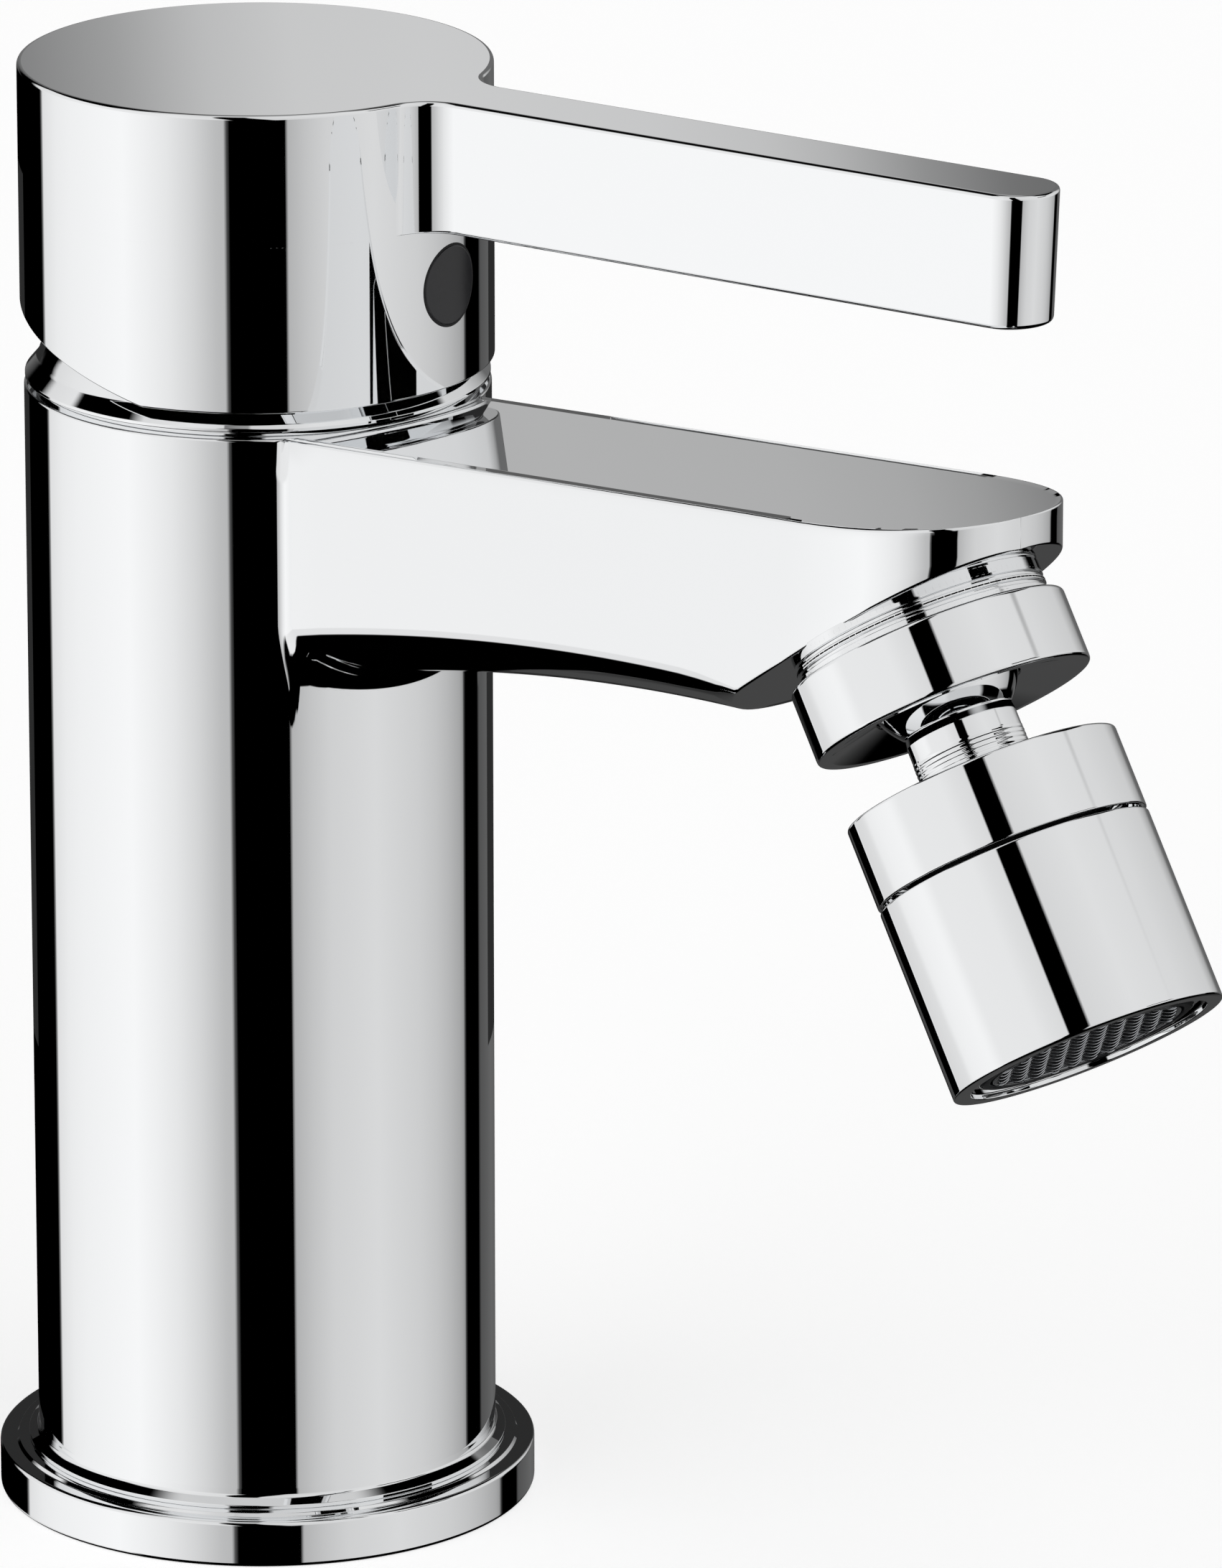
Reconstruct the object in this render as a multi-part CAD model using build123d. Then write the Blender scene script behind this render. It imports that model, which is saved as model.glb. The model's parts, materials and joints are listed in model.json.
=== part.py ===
from build123d import *
import math
import os

# Cartridge, from its base up; the body is drawn around it
cartridge_radius = 17.5
chamber_clearance = 0.1
barrel_step = 1.8
housing_wall = 1.8
base_thickness = 4.5
base_spigot_height = 1.5
disc_thickness = 3.0
carrier_thickness = 4.0
turret_flange_thickness = 2.8
turning_clearance = 0.1
shoulder_width = 3.9
shoulder_thickness = 4.0
housing_collar_length = 7.0
housing_neck_wall = 3.0
housing_neck_length = 3.6

# Body: a turned column on the deck with the spout cast on to it
body_wall = 5.4
body_rim_height = 114.7
body_lift = 0.6
foot_width = 1.0
foot_land = 0.4
foot_cove = 0.9
spigot_step = 3.0

# Base flange and the flat seal let into its underside
flange_overhang = 3.9
flange_height = 4.7
flange_land_width = 1.0
flange_land_rise = 0.3
flange_bevel = 0.5
flange_clearance = 0.05
base_seal_margin = 1.3
base_seal_step = 1.8
base_seal_thickness = 1.6
base_seal_clearance = 0.05

# Outlet: a slanted flat face, square to the axis of the ball joint
outlet_x = 98.1
outlet_drop = 2.5
outlet_tilt = 34.0
socket_radius = 9.0
socket_depth = 4.6

# Spout: straight sides, blunt round nose, flat top that rises to the tip
spout_half_width = 12.4
nose_setback = 4.1
nose_overhang = 14.4
nose_handle_share = 0.66
spout_top_pitch = 6.25
spout_top_drop = 2.12
spout_lower_round = 3.5
spout_root_fillet = 6.0
rim_facing_clearance = 0.2

# Underside of the spout: a shallow crown carried along a long arc
underside_setback = 18.1
underside_drop = 13.0
underside_end_slope = 4.0
underside_radius = 322.0
underside_crown_radius = 17.9

# Water ways
duct_radius = 3.6
duct_start_inset = 7.6
duct_start_rise = 11.0
duct_bend_gap = 12.0
duct_bend_rise = 12.5
duct_rise = 15.2
duct_end_depth = 5.4
hose_thread_radius = 4.5
hose_thread_depth = 13.0
hose_x = 3.0
hose_spread = 7.5
riser_radius = 3.0
stud_thread_radius = 3.4
stud_thread_depth = 18.0
stud_x = -10.5

# Ports: the two inlets lie to the front of the outlet
inlet_x = 4.0
inlet_spread = 5.8
inlet_radius = 2.4
outlet_port_x = -5.5
outlet_port_radius = 3.3
outlet_channel_height = 2.8
outlet_channel_rise = 1.5
peg_x = -4.5
peg_spread = 10.0
peg_radius = 1.5
peg_height = 2.0
peg_clearance = 0.1

# Rubber rings: radius to the middle of the section, and radius of the section
port_seal_radius = 3.7
port_seal_section = 0.78
disc_seal_radius = 3.3
outlet_seal_radius = 4.2
disc_seal_section = 0.58
housing_seal_section = 0.8
housing_seal_rise = 3.4
turret_seal_section = 0.6
turret_seal_rise = 2.7
seal_clearance = 0.03

# Discs and their carrier
disc_clearance = 0.3
disc_margin = 3.0
mixing_pocket_length = 4.6
mixing_pocket_width = 7.0
mixing_pocket_back = 1.8
mixing_pocket_depth = 1.4
carrier_rail_width = 2.0
carrier_rail_height = 1.2
carrier_rail_inset = 2.2

# Turret, pin and stem
turret_flange_clearance = 0.4
pivot_rise = 3.8
turret_top_rise = 2.3
stem_half_width = 3.5
stem_clearance = 0.08
stem_play_back = 1.3
stem_play_front = 3.7
pin_radius = 1.5
pin_clearance = 0.05
stem_top_rise = 4.1
stem_square_drop = 5.9
stem_top_bevel = 0.8
shank_radius = 1.9
stem_ball_radius = 2.2
stem_ball_rise = 2.8
ball_pocket_clearance = 0.15
ball_pocket_floor = 0.4
lift_range = 18.0

# Nut and cover ring above the body's rim
nut_overlap = 1.4
nut_thread_length = 2.7
nut_bore_clearance = 0.3
nut_flange_width = 0.3
nut_flange_thickness = 1.7
nut_hex_wall = 1.7
nut_hex_height = 3.0
nut_thread_clearance = 0.1
nut_seat_drop = 1.0
nut_rim_gap = 0.1
ring_clearance = 0.1
ring_foot_inset = 1.2
ring_lip_inset = 0.1
ring_lip_rise = 0.7
ring_lip_thickness = 0.4
ring_cove_rise = 2.3
ring_cove_sag = 0.25
dome_cap_gap = 0.41
dome_top_rise = 2.5

# Handle: a deep cap with a flat lever, cut up at the back so that it can tip
cap_overhang = 0.31
cap_rim_gap = 2.65
cap_skirt_height = 16.55
cap_wall = 1.7
cap_ceiling = 3.0
cap_bevel = 0.5
skirt_start = 2.8
skirt_pitch = 15.0
lever_azimuth = 15.5
lever_half_width = 4.15
lever_height = 13.1
lever_reach = 92.45
lever_root_fillet = 5.0
lever_lower_round = 0.6
hub_radius = 8.0
hub_margin = 2.6
hub_stem_clearance = 0.05
screw_drop = 6.3
screw_radius = 2.5
screw_length = 8.0
screw_key_radius = 1.25
screw_key_depth = 2.5
screw_clearance = 0.05
screw_boss_radius = 5.5
plug_radius = 4.1
plug_depth = 4.31
plug_clearance = 0.05
plug_recess = 0.12
plug_bevel = 0.25

# Ball joint below the spout, by depth along the outlet's axis
adapter_band_height = 2.6
adapter_groove = 0.35
adapter_groove_width = 0.5
adapter_spigot_clearance = 0.05
adapter_spigot_bore = 6.8
adapter_thread_step = 0.8
adapter_thread_length = 3.0
adapter_seat_radius = 10.0
adapter_seat_top = 1.0
washer_inner_radius = 5.6
washer_thickness = 1.2
collar_overhang = 1.2
collar_height = 7.15
collar_bevel = 0.4
collar_thread_clearance = 0.05
collar_lip_depth = 3.0
collar_mouth_rise = 1.5
ball_radius = 7.6
ball_center_depth = 5.15
ball_crown = 5.0
ball_bore_radius = 3.6
ball_clearance = 0.05
seat_seal_section = 0.78
seat_seal_radius = 8.6
seat_clearance = 0.1
neck_radius = 5.4
neck_gap = 6.7
neck_thread_length = 4.5

# Aerator, screwed on the ball's neck
aerator_radius = 13.35
aerator_wall = 2.75
aerator_cap_height = 8.1
aerator_groove = 0.3
aerator_shell_height = 18.9
aerator_bevel = 0.3
aerator_mouth_bevel = 0.8
aerator_thread_step = 1.55
aerator_thread_clearance = 0.1
aerator_washer_thickness = 1.2
aerator_lip_width = 0.6
aerator_lip_height = 1.1
insert_clearance = 0.1
insert_wall = 1.6
insert_mouth_depth = 2.2
insert_mouth_width = 0.7
mesh_thickness = 0.8
mesh_clearance = 0.05
diffuser_thickness = 2.0
diffuser_hole_radius = 0.8
diffuser_hole_count = 12
diffuser_ring_radius = 6.2

# One overrun serves every cut, one reach every cutting block, and one tolerance the picking of edges
overrun = 1.0
reach = 400.0
edge_tolerance = 0.4

# Radii that follow, from the cartridge outward
chamber_radius = cartridge_radius + chamber_clearance
cartridge_barrel_radius = cartridge_radius - barrel_step
housing_bore_radius = cartridge_barrel_radius - housing_wall
neck_bore_radius = housing_bore_radius - shoulder_width
housing_neck_radius = neck_bore_radius + housing_neck_wall
fixed_disc_radius = housing_bore_radius - disc_clearance
moving_disc_radius = fixed_disc_radius - disc_margin
carrier_rail_spread = moving_disc_radius - carrier_rail_inset
turret_flange_radius = housing_bore_radius - turret_flange_clearance
turret_neck_radius = neck_bore_radius - turning_clearance
body_radius = chamber_radius + body_wall
rim_facing_radius = body_radius + rim_facing_clearance
foot_radius = body_radius + foot_width
spigot_radius = body_radius - spigot_step
flange_radius = body_radius + flange_overhang
flange_land_radius = foot_radius + flange_land_width
base_seal_outer_radius = flange_radius - base_seal_margin
base_seal_inner_radius = spigot_radius + base_seal_step
nut_radius = cartridge_radius + nut_overlap
nut_flange_radius = nut_radius + nut_flange_width
nut_bore_radius = housing_neck_radius + nut_bore_clearance
nut_flats = nut_bore_radius + nut_hex_wall
ring_bore_radius = nut_flange_radius + ring_clearance
ring_foot_radius = body_radius - ring_foot_inset
ring_lip_radius = body_radius - ring_lip_inset
cap_radius = body_radius + cap_overhang
dome_radius = cap_radius - cap_wall - dome_cap_gap

# Heights that follow, from the cartridge's seat up
stack_height = base_thickness + base_spigot_height + 2 * disc_thickness + carrier_thickness
turret_space = turret_flange_thickness + 2 * turning_clearance
cartridge_height = stack_height + turret_space + shoulder_thickness
chamber_floor_height = body_rim_height - nut_thread_length - cartridge_height
base_top = chamber_floor_height + base_thickness
fixed_disc_height = base_top + base_spigot_height
moving_disc_height = fixed_disc_height + disc_thickness
carrier_height = moving_disc_height + disc_thickness
carrier_top = carrier_height + carrier_thickness
turret_flange_bottom = carrier_top + turning_clearance
turret_flange_top = turret_flange_bottom + turret_flange_thickness
turret_seal_height = turret_flange_top + turret_seal_rise
housing_shoulder_height = turret_flange_top + turning_clearance
housing_top_height = housing_shoulder_height + shoulder_thickness
housing_collar_height = housing_top_height - housing_collar_length
housing_seal_height = housing_collar_height + housing_seal_rise
housing_neck_height = housing_top_height + housing_neck_length
nut_bore_step = housing_top_height - nut_seat_drop
nut_flange_height = body_rim_height + nut_rim_gap + nut_flange_thickness
nut_top_height = nut_flange_height + nut_hex_height
pivot_height = body_rim_height + pivot_rise
turret_top_height = pivot_height + turret_top_rise
dome_top_height = pivot_height + dome_top_rise
ring_lip_height = body_rim_height + ring_lip_rise
ring_cove_height = body_rim_height + ring_cove_rise
cap_bottom_height = body_rim_height + cap_rim_gap
lever_bottom_height = cap_bottom_height + cap_skirt_height
cap_top_height = lever_bottom_height + lever_height
screw_height = lever_bottom_height - screw_drop
hub_bottom_height = screw_height - hub_margin
stem_top_height = lever_bottom_height + stem_top_rise
stem_square_bottom = pivot_height - stem_square_drop
stem_ball_height = carrier_height + stem_ball_rise
stem_arm = pivot_height - stem_ball_height
disc_travel = stem_arm * math.radians(lift_range)
disc_rest = disc_travel / 2
turret_slot_back = stem_half_width + stem_play_back
turret_slot_front = stem_half_width + stem_play_front
plug_seat = cap_radius - plug_depth
foot_height = flange_height + flange_land_rise
foot_cove_top = foot_height + foot_land + foot_cove

# Places along the spout that follow from its outlet
outlet_height = body_rim_height - outlet_drop
spout_top_height = body_rim_height - spout_top_drop
spout_straight_end = outlet_x - nose_setback
spout_tip = outlet_x + nose_overhang
underside_end_x = outlet_x - underside_setback
underside_end_height = outlet_height - underside_drop
duct_start_x = chamber_radius - duct_start_inset
duct_start_height = chamber_floor_height + duct_start_rise
duct_bend_x = body_radius + duct_bend_gap
duct_bend_height = chamber_floor_height + duct_bend_rise
duct_rise_height = underside_end_height + duct_rise

# Depths and radii below the outlet that follow
adapter_band_radius = spout_half_width
adapter_thread_radius = adapter_band_radius - adapter_thread_step
adapter_thread_depth = adapter_band_height + adapter_thread_length
collar_radius = adapter_band_radius + collar_overhang
collar_mouth_radius = collar_radius - collar_overhang
collar_bottom = adapter_band_height + collar_height
aerator_bore_radius = aerator_radius - aerator_wall
aerator_thread_radius = aerator_radius - aerator_thread_step
aerator_lip_radius = aerator_bore_radius - aerator_lip_width
insert_bore_radius = aerator_bore_radius - insert_clearance - insert_wall
insert_mouth_radius = insert_bore_radius + insert_mouth_width
aerator_top = collar_bottom + neck_gap
aerator_ceiling = aerator_top + neck_thread_length
aerator_cap_bottom = aerator_top + aerator_cap_height
aerator_shell_top = aerator_cap_bottom + aerator_groove
aerator_bottom = aerator_shell_top + aerator_shell_height
shell_spigot_top = aerator_ceiling + aerator_washer_thickness
aerator_lip = aerator_bottom - aerator_lip_height
insert_step = aerator_lip - insert_mouth_depth

handle_place = Rot(0, 0, lever_azimuth)
outlet_place = Pos(outlet_x, 0, outlet_height) * Rot(0, -outlet_tilt, 0)
bottom = (Align.CENTER, Align.CENTER, Align.MIN)


# A rod about the upright axis
def rod(radius, low, high):
    return Pos(0, 0, low) * Cylinder(radius, high - low, align=bottom)


# A rod with a bore right through it
def ring(outer, inner, low, high):
    return rod(outer, low, high) - rod(inner, low - overrun, high + overrun)


# A solid of revolution from corners given as radius and height
def turned(*corners):
    outline = Polyline(*[(radius, 0, height) for radius, height in corners], close=True)
    return revolve(make_face(outline), Axis.Z)


# A round rubber ring
def seal(radius, section, height):
    return Pos(0, 0, height) * Torus(radius, section)


# A block whose lower face passes through a point, tipped about the Y axis
def half_space(x, height, tip):
    return Pos(x, 0, height) * Rot(0, tip, 0) * Box(reach, reach, reach, align=bottom)


# A round passage through points in space, with a ball at each bend
def passage(radius, *points):
    solids = []
    for start, end in zip(points, points[1:]):
        run = Vector(*end) - Vector(*start)
        leg = Solid.make_cylinder(radius, run.length, Plane(origin=start, z_dir=run))
        solids += [leg, Pos(*end) * Sphere(radius)]
    return Part() + solids


# A rod along the lever, from one distance to another
def lever_rod(radius, start, end, height):
    return Solid.make_cylinder(radius, end - start, Plane(origin=(start, 0, height), z_dir=(1, 0, 0)))


# Turns depth along the outlet's axis into height in its own frame
def down(*corners):
    return turned(*[(radius, -depth) for radius, depth in corners])


def down_ring(outer, inner, top, low):
    return ring(outer, inner, -low, -top)


def spout():
    width = spout_half_width
    tip = spout_tip
    nose_start = spout_straight_end
    nose_grip = nose_start + (tip - nose_start) * nose_handle_share
    side_grip = width * nose_handle_share
    outline = [
        Line((0, -width), (nose_start, -width)),
        Bezier((nose_start, -width), (nose_grip, -width), (tip, -side_grip), (tip, 0)),
        Bezier((tip, 0), (tip, side_grip), (nose_grip, width), (nose_start, width)),
        Line((nose_start, width), (0, width)),
        Line((0, width), (0, -width)),
    ]
    solid = extrude(make_face(outline), body_rim_height + reach)
    slope = math.radians(underside_end_slope)
    arc_x = underside_end_x + underside_radius * math.sin(slope)
    arc_height = underside_end_height - underside_radius * math.cos(slope)
    crown = Torus(underside_radius + underside_crown_radius, underside_crown_radius)
    solid &= Pos(arc_x, 0, arc_height) * Rot(90, 0, 0) * crown
    solid -= half_space(0, spout_top_height, -spout_top_pitch)
    solid -= half_space(outlet_x, outlet_height, 180 - outlet_tilt)
    return fillet([e for e in solid.edges() if spans_side(e)], spout_lower_round)


# Whether an edge is the lower one along a straight side of the spout
def spans_side(edge):
    box = edge.bounding_box()
    along = box.size.X > spout_half_width
    beside = abs(abs(edge.center().Y) - spout_half_width) < edge_tolerance
    return along and beside and edge.center().Z < outlet_height


def mixer_body():
    column = rod(body_radius, foot_height, body_rim_height + spout_half_width)
    solid = column + spout()
    root = [e for e in solid.edges() if touches_column(e)]
    solid = fillet(root, spout_root_fillet)
    solid -= rod(rim_facing_radius, body_rim_height, body_rim_height + reach)
    foot = turned(
        (0, body_lift),
        (spigot_radius, body_lift),
        (spigot_radius, foot_height),
        (foot_radius, foot_height),
        (foot_radius, foot_height + foot_land),
        (body_radius, foot_cove_top),
        (0, foot_cove_top),
    )
    solid += foot
    solid -= rod(chamber_radius, chamber_floor_height, body_rim_height + overrun)
    solid -= rod(nut_radius + nut_thread_clearance, nut_bore_step, body_rim_height + overrun)
    solid -= water_ways()
    solid -= outlet_place * rod(socket_radius, -overrun, socket_depth)
    return solid


# Whether an edge lies where the spout leaves the column
def touches_column(edge):
    spots = [edge.position_at(share) for share in (0, 0.5, 1)]
    on_column = all(abs(math.hypot(p.X, p.Y) - body_radius) < edge_tolerance for p in spots)
    low = min(p.Z for p in spots)
    middle = edge.position_at(0.5)
    below = middle.Z < top_height(middle.X) - edge_tolerance
    return on_column and low > foot_height and middle.X > 0 and below


# Height of the spout's flat top at a distance from the body's axis
def top_height(distance):
    return spout_top_height + distance * math.tan(math.radians(spout_top_pitch))


def water_ways():
    end = outlet_place * Pos(0, 0, duct_end_depth)
    solid = passage(
        duct_radius,
        (duct_start_x, 0, duct_start_height),
        (duct_bend_x, 0, duct_bend_height),
        (underside_end_x, 0, duct_rise_height),
        tuple(end.position),
        (outlet_x, 0, outlet_height),
    )
    floor = chamber_floor_height
    for side in (-1, 1):
        hose = (hose_x, side * hose_spread, body_lift + hose_thread_depth)
        port = (inlet_x, side * inlet_spread, floor)
        solid += passage(riser_radius, hose, port)
        solid += Pos(hose_x, side * hose_spread, 0) * rod(hose_thread_radius, 0, hose[2])
        solid += Pos(peg_x, side * peg_spread, 0) * peg_hole()
    solid += Pos(stud_x, 0, 0) * rod(stud_thread_radius, 0, body_lift + stud_thread_depth)
    return solid


def peg_hole():
    floor = chamber_floor_height
    return rod(peg_radius + peg_clearance, floor - peg_height - peg_clearance, floor + overrun)


def base_flange():
    bore = spigot_radius + flange_clearance
    solid = turned(
        (bore, 0),
        (flange_radius, 0),
        (flange_radius, flange_height - flange_bevel),
        (flange_radius - flange_bevel, flange_height),
        (flange_land_radius, flange_height),
        (flange_land_radius, foot_height),
        (bore, foot_height),
    )
    gap = base_seal_clearance
    return solid - ring(
        base_seal_outer_radius + gap, base_seal_inner_radius - gap, -overrun, base_seal_thickness
    )


def base_seal():
    return ring(base_seal_outer_radius, base_seal_inner_radius, 0, base_seal_thickness)


# The seats that the rubber rings lie in are square grooves
def seal_groove(radius, section, low, high):
    half = section + seal_clearance
    return ring(radius + half, radius - half, low, high)


def cartridge_base():
    floor = chamber_floor_height
    spigot_radius_here = housing_bore_radius - turning_clearance
    solid = rod(cartridge_barrel_radius, floor, base_top)
    solid += rod(spigot_radius_here, base_top, fixed_disc_height)
    depth = 2 * port_seal_section + seal_clearance
    lid = 2 * disc_seal_section + seal_clearance
    for side in (-1, 1):
        port = Pos(inlet_x, side * inlet_spread, 0)
        solid -= port * rod(inlet_radius, floor - overrun, fixed_disc_height + overrun)
        solid -= port * seal_groove(port_seal_radius, port_seal_section, floor - overrun, floor + depth)
        solid -= port * disc_groove(disc_seal_radius, lid)
        solid += Pos(peg_x, side * peg_spread, 0) * rod(peg_radius, floor - peg_height, floor)
    channel_floor = floor + outlet_channel_rise
    outlet = Pos(outlet_port_x, 0, 0)
    solid -= outlet * rod(outlet_port_radius, channel_floor, fixed_disc_height + overrun)
    solid -= outlet * disc_groove(outlet_seal_radius, lid)
    channel = Box(
        cartridge_barrel_radius,
        2 * outlet_port_radius,
        outlet_channel_height,
        align=(Align.MAX, Align.CENTER, Align.MIN),
    )
    return solid - Pos(outlet_port_x, 0, channel_floor) * channel


def disc_groove(radius, depth):
    top = fixed_disc_height
    return seal_groove(radius, disc_seal_section, top - depth, top + overrun)


def port_seals():
    height = chamber_floor_height + port_seal_section + seal_clearance / 2
    rings = [
        Pos(inlet_x, side * inlet_spread, 0) * seal(port_seal_radius, port_seal_section, height)
        for side in (-1, 1)
    ]
    return Compound(rings)


def disc_seals():
    height = fixed_disc_height - disc_seal_section - seal_clearance / 2
    rings = [
        Pos(inlet_x, side * inlet_spread, 0) * seal(disc_seal_radius, disc_seal_section, height)
        for side in (-1, 1)
    ]
    rings.append(Pos(outlet_port_x, 0, 0) * seal(outlet_seal_radius, disc_seal_section, height))
    return Compound(rings)


def fixed_disc():
    low = fixed_disc_height
    high = moving_disc_height
    solid = rod(fixed_disc_radius, low, high)
    for side in (-1, 1):
        hole = rod(inlet_radius, low - overrun, high + overrun)
        solid -= Pos(inlet_x, side * inlet_spread, 0) * hole
    return solid - Pos(outlet_port_x, 0, 0) * rod(outlet_port_radius, low - overrun, high + overrun)


# Slid back along the lever when the handle is down
def moving_disc():
    solid = rod(moving_disc_radius, moving_disc_height, carrier_height)
    pocket = extrude(Ellipse(mixing_pocket_length, mixing_pocket_width), mixing_pocket_depth)
    solid -= Pos(-mixing_pocket_back, 0, moving_disc_height) * pocket
    return handle_place * Pos(-disc_rest, 0, 0) * solid


def disc_carrier():
    solid = rod(moving_disc_radius, carrier_height, carrier_top)
    solid += Pos(0, 0, carrier_top) * rails(carrier_rail_width, carrier_rail_height)
    solid &= rod(moving_disc_radius, carrier_height, carrier_top + carrier_rail_height)
    pocket_radius = stem_ball_radius + ball_pocket_clearance
    pocket = rod(pocket_radius, carrier_height + ball_pocket_floor, carrier_top + overrun)
    solid = Pos(-disc_rest, 0, 0) * solid - pocket
    return handle_place * solid


# Two guide rails along the lever, or the grooves for them
def rails(width, height):
    rail = Box(2 * turret_flange_radius, width, height, align=bottom)
    return Part() + [Pos(0, side * carrier_rail_spread, 0) * rail for side in (-1, 1)]


def turret():
    solid = rod(turret_flange_radius, turret_flange_bottom, turret_flange_top)
    solid += rod(turret_neck_radius, turret_flange_top, turret_top_height)
    slot_length = turret_slot_front + turret_slot_back
    slot_height = turret_top_height - turret_flange_bottom + 2 * overrun
    half = stem_half_width + stem_clearance
    slot = Box(slot_length, 2 * half, slot_height, align=(Align.MIN, Align.CENTER, Align.MIN))
    solid -= Pos(-turret_slot_back, 0, turret_flange_bottom - overrun) * slot
    groove_width = carrier_rail_width + 2 * turning_clearance
    groove_depth = carrier_rail_height + overrun
    solid -= Pos(0, 0, turret_flange_bottom - overrun) * rails(groove_width, groove_depth)
    solid -= across(pin_radius, turret_neck_radius + overrun)
    seat = turret_seal_section + seal_clearance
    groove = ring(
        turret_neck_radius + overrun,
        turret_neck_radius - 2 * turret_seal_section,
        turret_seal_height - seat,
        turret_seal_height + seat,
    )
    return handle_place * (solid - groove)


# A rod along the stem's tipping axis
def across(radius, half_length):
    plane = Plane(origin=(0, -half_length, pivot_height), z_dir=(0, 1, 0))
    return Solid.make_cylinder(radius, 2 * half_length, plane)


def turret_seal():
    inside = turret_neck_radius - 2 * turret_seal_section
    return seal(inside + turret_seal_section + seal_clearance, turret_seal_section, turret_seal_height)


def pivot_pin():
    return handle_place * across(pin_radius, turret_neck_radius - turning_clearance)


def cartridge_housing():
    barrel = cartridge_barrel_radius
    solid = turned(
        (housing_bore_radius, base_top),
        (barrel, base_top),
        (barrel, housing_collar_height),
        (cartridge_radius, housing_collar_height),
        (cartridge_radius, housing_top_height),
        (housing_neck_radius, housing_top_height),
        (housing_neck_radius, housing_neck_height),
        (neck_bore_radius, housing_neck_height),
        (neck_bore_radius, housing_shoulder_height),
        (housing_bore_radius, housing_shoulder_height),
    )
    half = housing_seal_section + seal_clearance
    return solid - ring(
        cartridge_radius + overrun,
        cartridge_radius - 2 * housing_seal_section,
        housing_seal_height - half,
        housing_seal_height + half,
    )


def housing_seal():
    middle = cartridge_radius - housing_seal_section + seal_clearance
    return seal(middle, housing_seal_section, housing_seal_height)


def cartridge_nut():
    flange_low = body_rim_height + nut_rim_gap
    solid = rod(nut_radius, housing_top_height, flange_low)
    solid += rod(nut_flange_radius, flange_low, nut_flange_height)
    prism = extrude(RegularPolygon(nut_flats, 6, major_radius=False), nut_top_height - nut_flange_height)
    solid += Pos(0, 0, nut_flange_height) * prism
    return solid - rod(nut_bore_radius, housing_top_height - overrun, nut_top_height + overrun)


# A dome struck from the handle's tipping axis, with a flared lip
def cover_ring():
    cove_radius = dome_width(ring_cove_height)
    top_radius = dome_width(dome_top_height)
    lip_top = ring_lip_height + ring_lip_thickness
    middle_height_here = (lip_top + ring_cove_height) / 2
    middle_radius = (ring_lip_radius + cove_radius) / 2 - ring_cove_sag
    outline = [
        Line((ring_bore_radius, 0, body_rim_height), (ring_foot_radius, 0, body_rim_height)),
        Line((ring_foot_radius, 0, body_rim_height), (ring_foot_radius, 0, ring_lip_height)),
        Line((ring_foot_radius, 0, ring_lip_height), (ring_lip_radius, 0, ring_lip_height)),
        Line((ring_lip_radius, 0, ring_lip_height), (ring_lip_radius, 0, lip_top)),
        ThreePointArc(
            (ring_lip_radius, 0, lip_top),
            (middle_radius, 0, middle_height_here),
            (cove_radius, 0, ring_cove_height),
        ),
        ThreePointArc(
            (cove_radius, 0, ring_cove_height),
            (dome_radius, 0, pivot_height),
            (top_radius, 0, dome_top_height),
        ),
        Line((top_radius, 0, dome_top_height), (ring_bore_radius, 0, dome_top_height)),
        Line((ring_bore_radius, 0, dome_top_height), (ring_bore_radius, 0, body_rim_height)),
    ]
    return revolve(make_face(outline), Axis.Z)


def dome_width(height):
    return math.sqrt(dome_radius**2 - (height - pivot_height) ** 2)


def stem():
    half = stem_half_width
    shaft = Box(2 * half, 2 * half, stem_top_height - stem_square_bottom, align=bottom)
    solid = Pos(0, 0, stem_square_bottom) * shaft
    solid = chamfer(solid.edges().group_by(Axis.Z)[-1], stem_top_bevel)
    solid += rod(shank_radius, stem_ball_height, stem_square_bottom)
    solid += Pos(0, 0, stem_ball_height) * Sphere(stem_ball_radius)
    solid -= across(pin_radius + pin_clearance, turret_neck_radius)
    return handle_place * solid


# The lever and the cap share one outline in plan, with fillets between them
def handle():
    straight = lever_reach - lever_half_width
    bar = Pos(straight / 2, 0) * Rectangle(straight, 2 * lever_half_width)
    plan = Circle(cap_radius) + bar + Pos(straight, 0) * Circle(lever_half_width)
    corners = [v for v in plan.vertices() if abs(v.X - cap_radius) < lever_half_width]
    plan = fillet(corners, lever_root_fillet)
    solid = Pos(0, 0, cap_bottom_height) * extrude(plan, cap_top_height - cap_bottom_height)
    solid -= ring(reach, cap_radius, cap_bottom_height - overrun, lever_bottom_height)
    solid = fillet([e for e in solid.edges() if under_lever(e)], lever_lower_round)
    solid = chamfer(solid.edges().group_by(Axis.Z)[-1], cap_bevel)
    solid -= rod(cap_radius - cap_wall, cap_bottom_height - overrun, cap_top_height - cap_ceiling)
    inside = rod(cap_radius - cap_wall / 2, cap_bottom_height, cap_top_height - cap_ceiling / 2)
    hub = rod(hub_radius, hub_bottom_height, cap_top_height - cap_ceiling / 2)
    boss = lever_rod(screw_boss_radius, 0, cap_radius, screw_height)
    solid += (hub + boss) & inside
    half = stem_half_width + hub_stem_clearance
    hole = Box(2 * half, 2 * half, stem_top_height - pivot_height, align=bottom)
    solid -= Pos(0, 0, pivot_height + hub_stem_clearance) * hole
    solid -= lever_rod(screw_radius + screw_clearance, 0, cap_radius, screw_height)
    solid -= lever_rod(plug_radius + plug_clearance, plug_seat, cap_radius + overrun, screw_height)
    solid -= half_space(skirt_start, cap_bottom_height, 180 + skirt_pitch)
    return handle_place * solid


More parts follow.
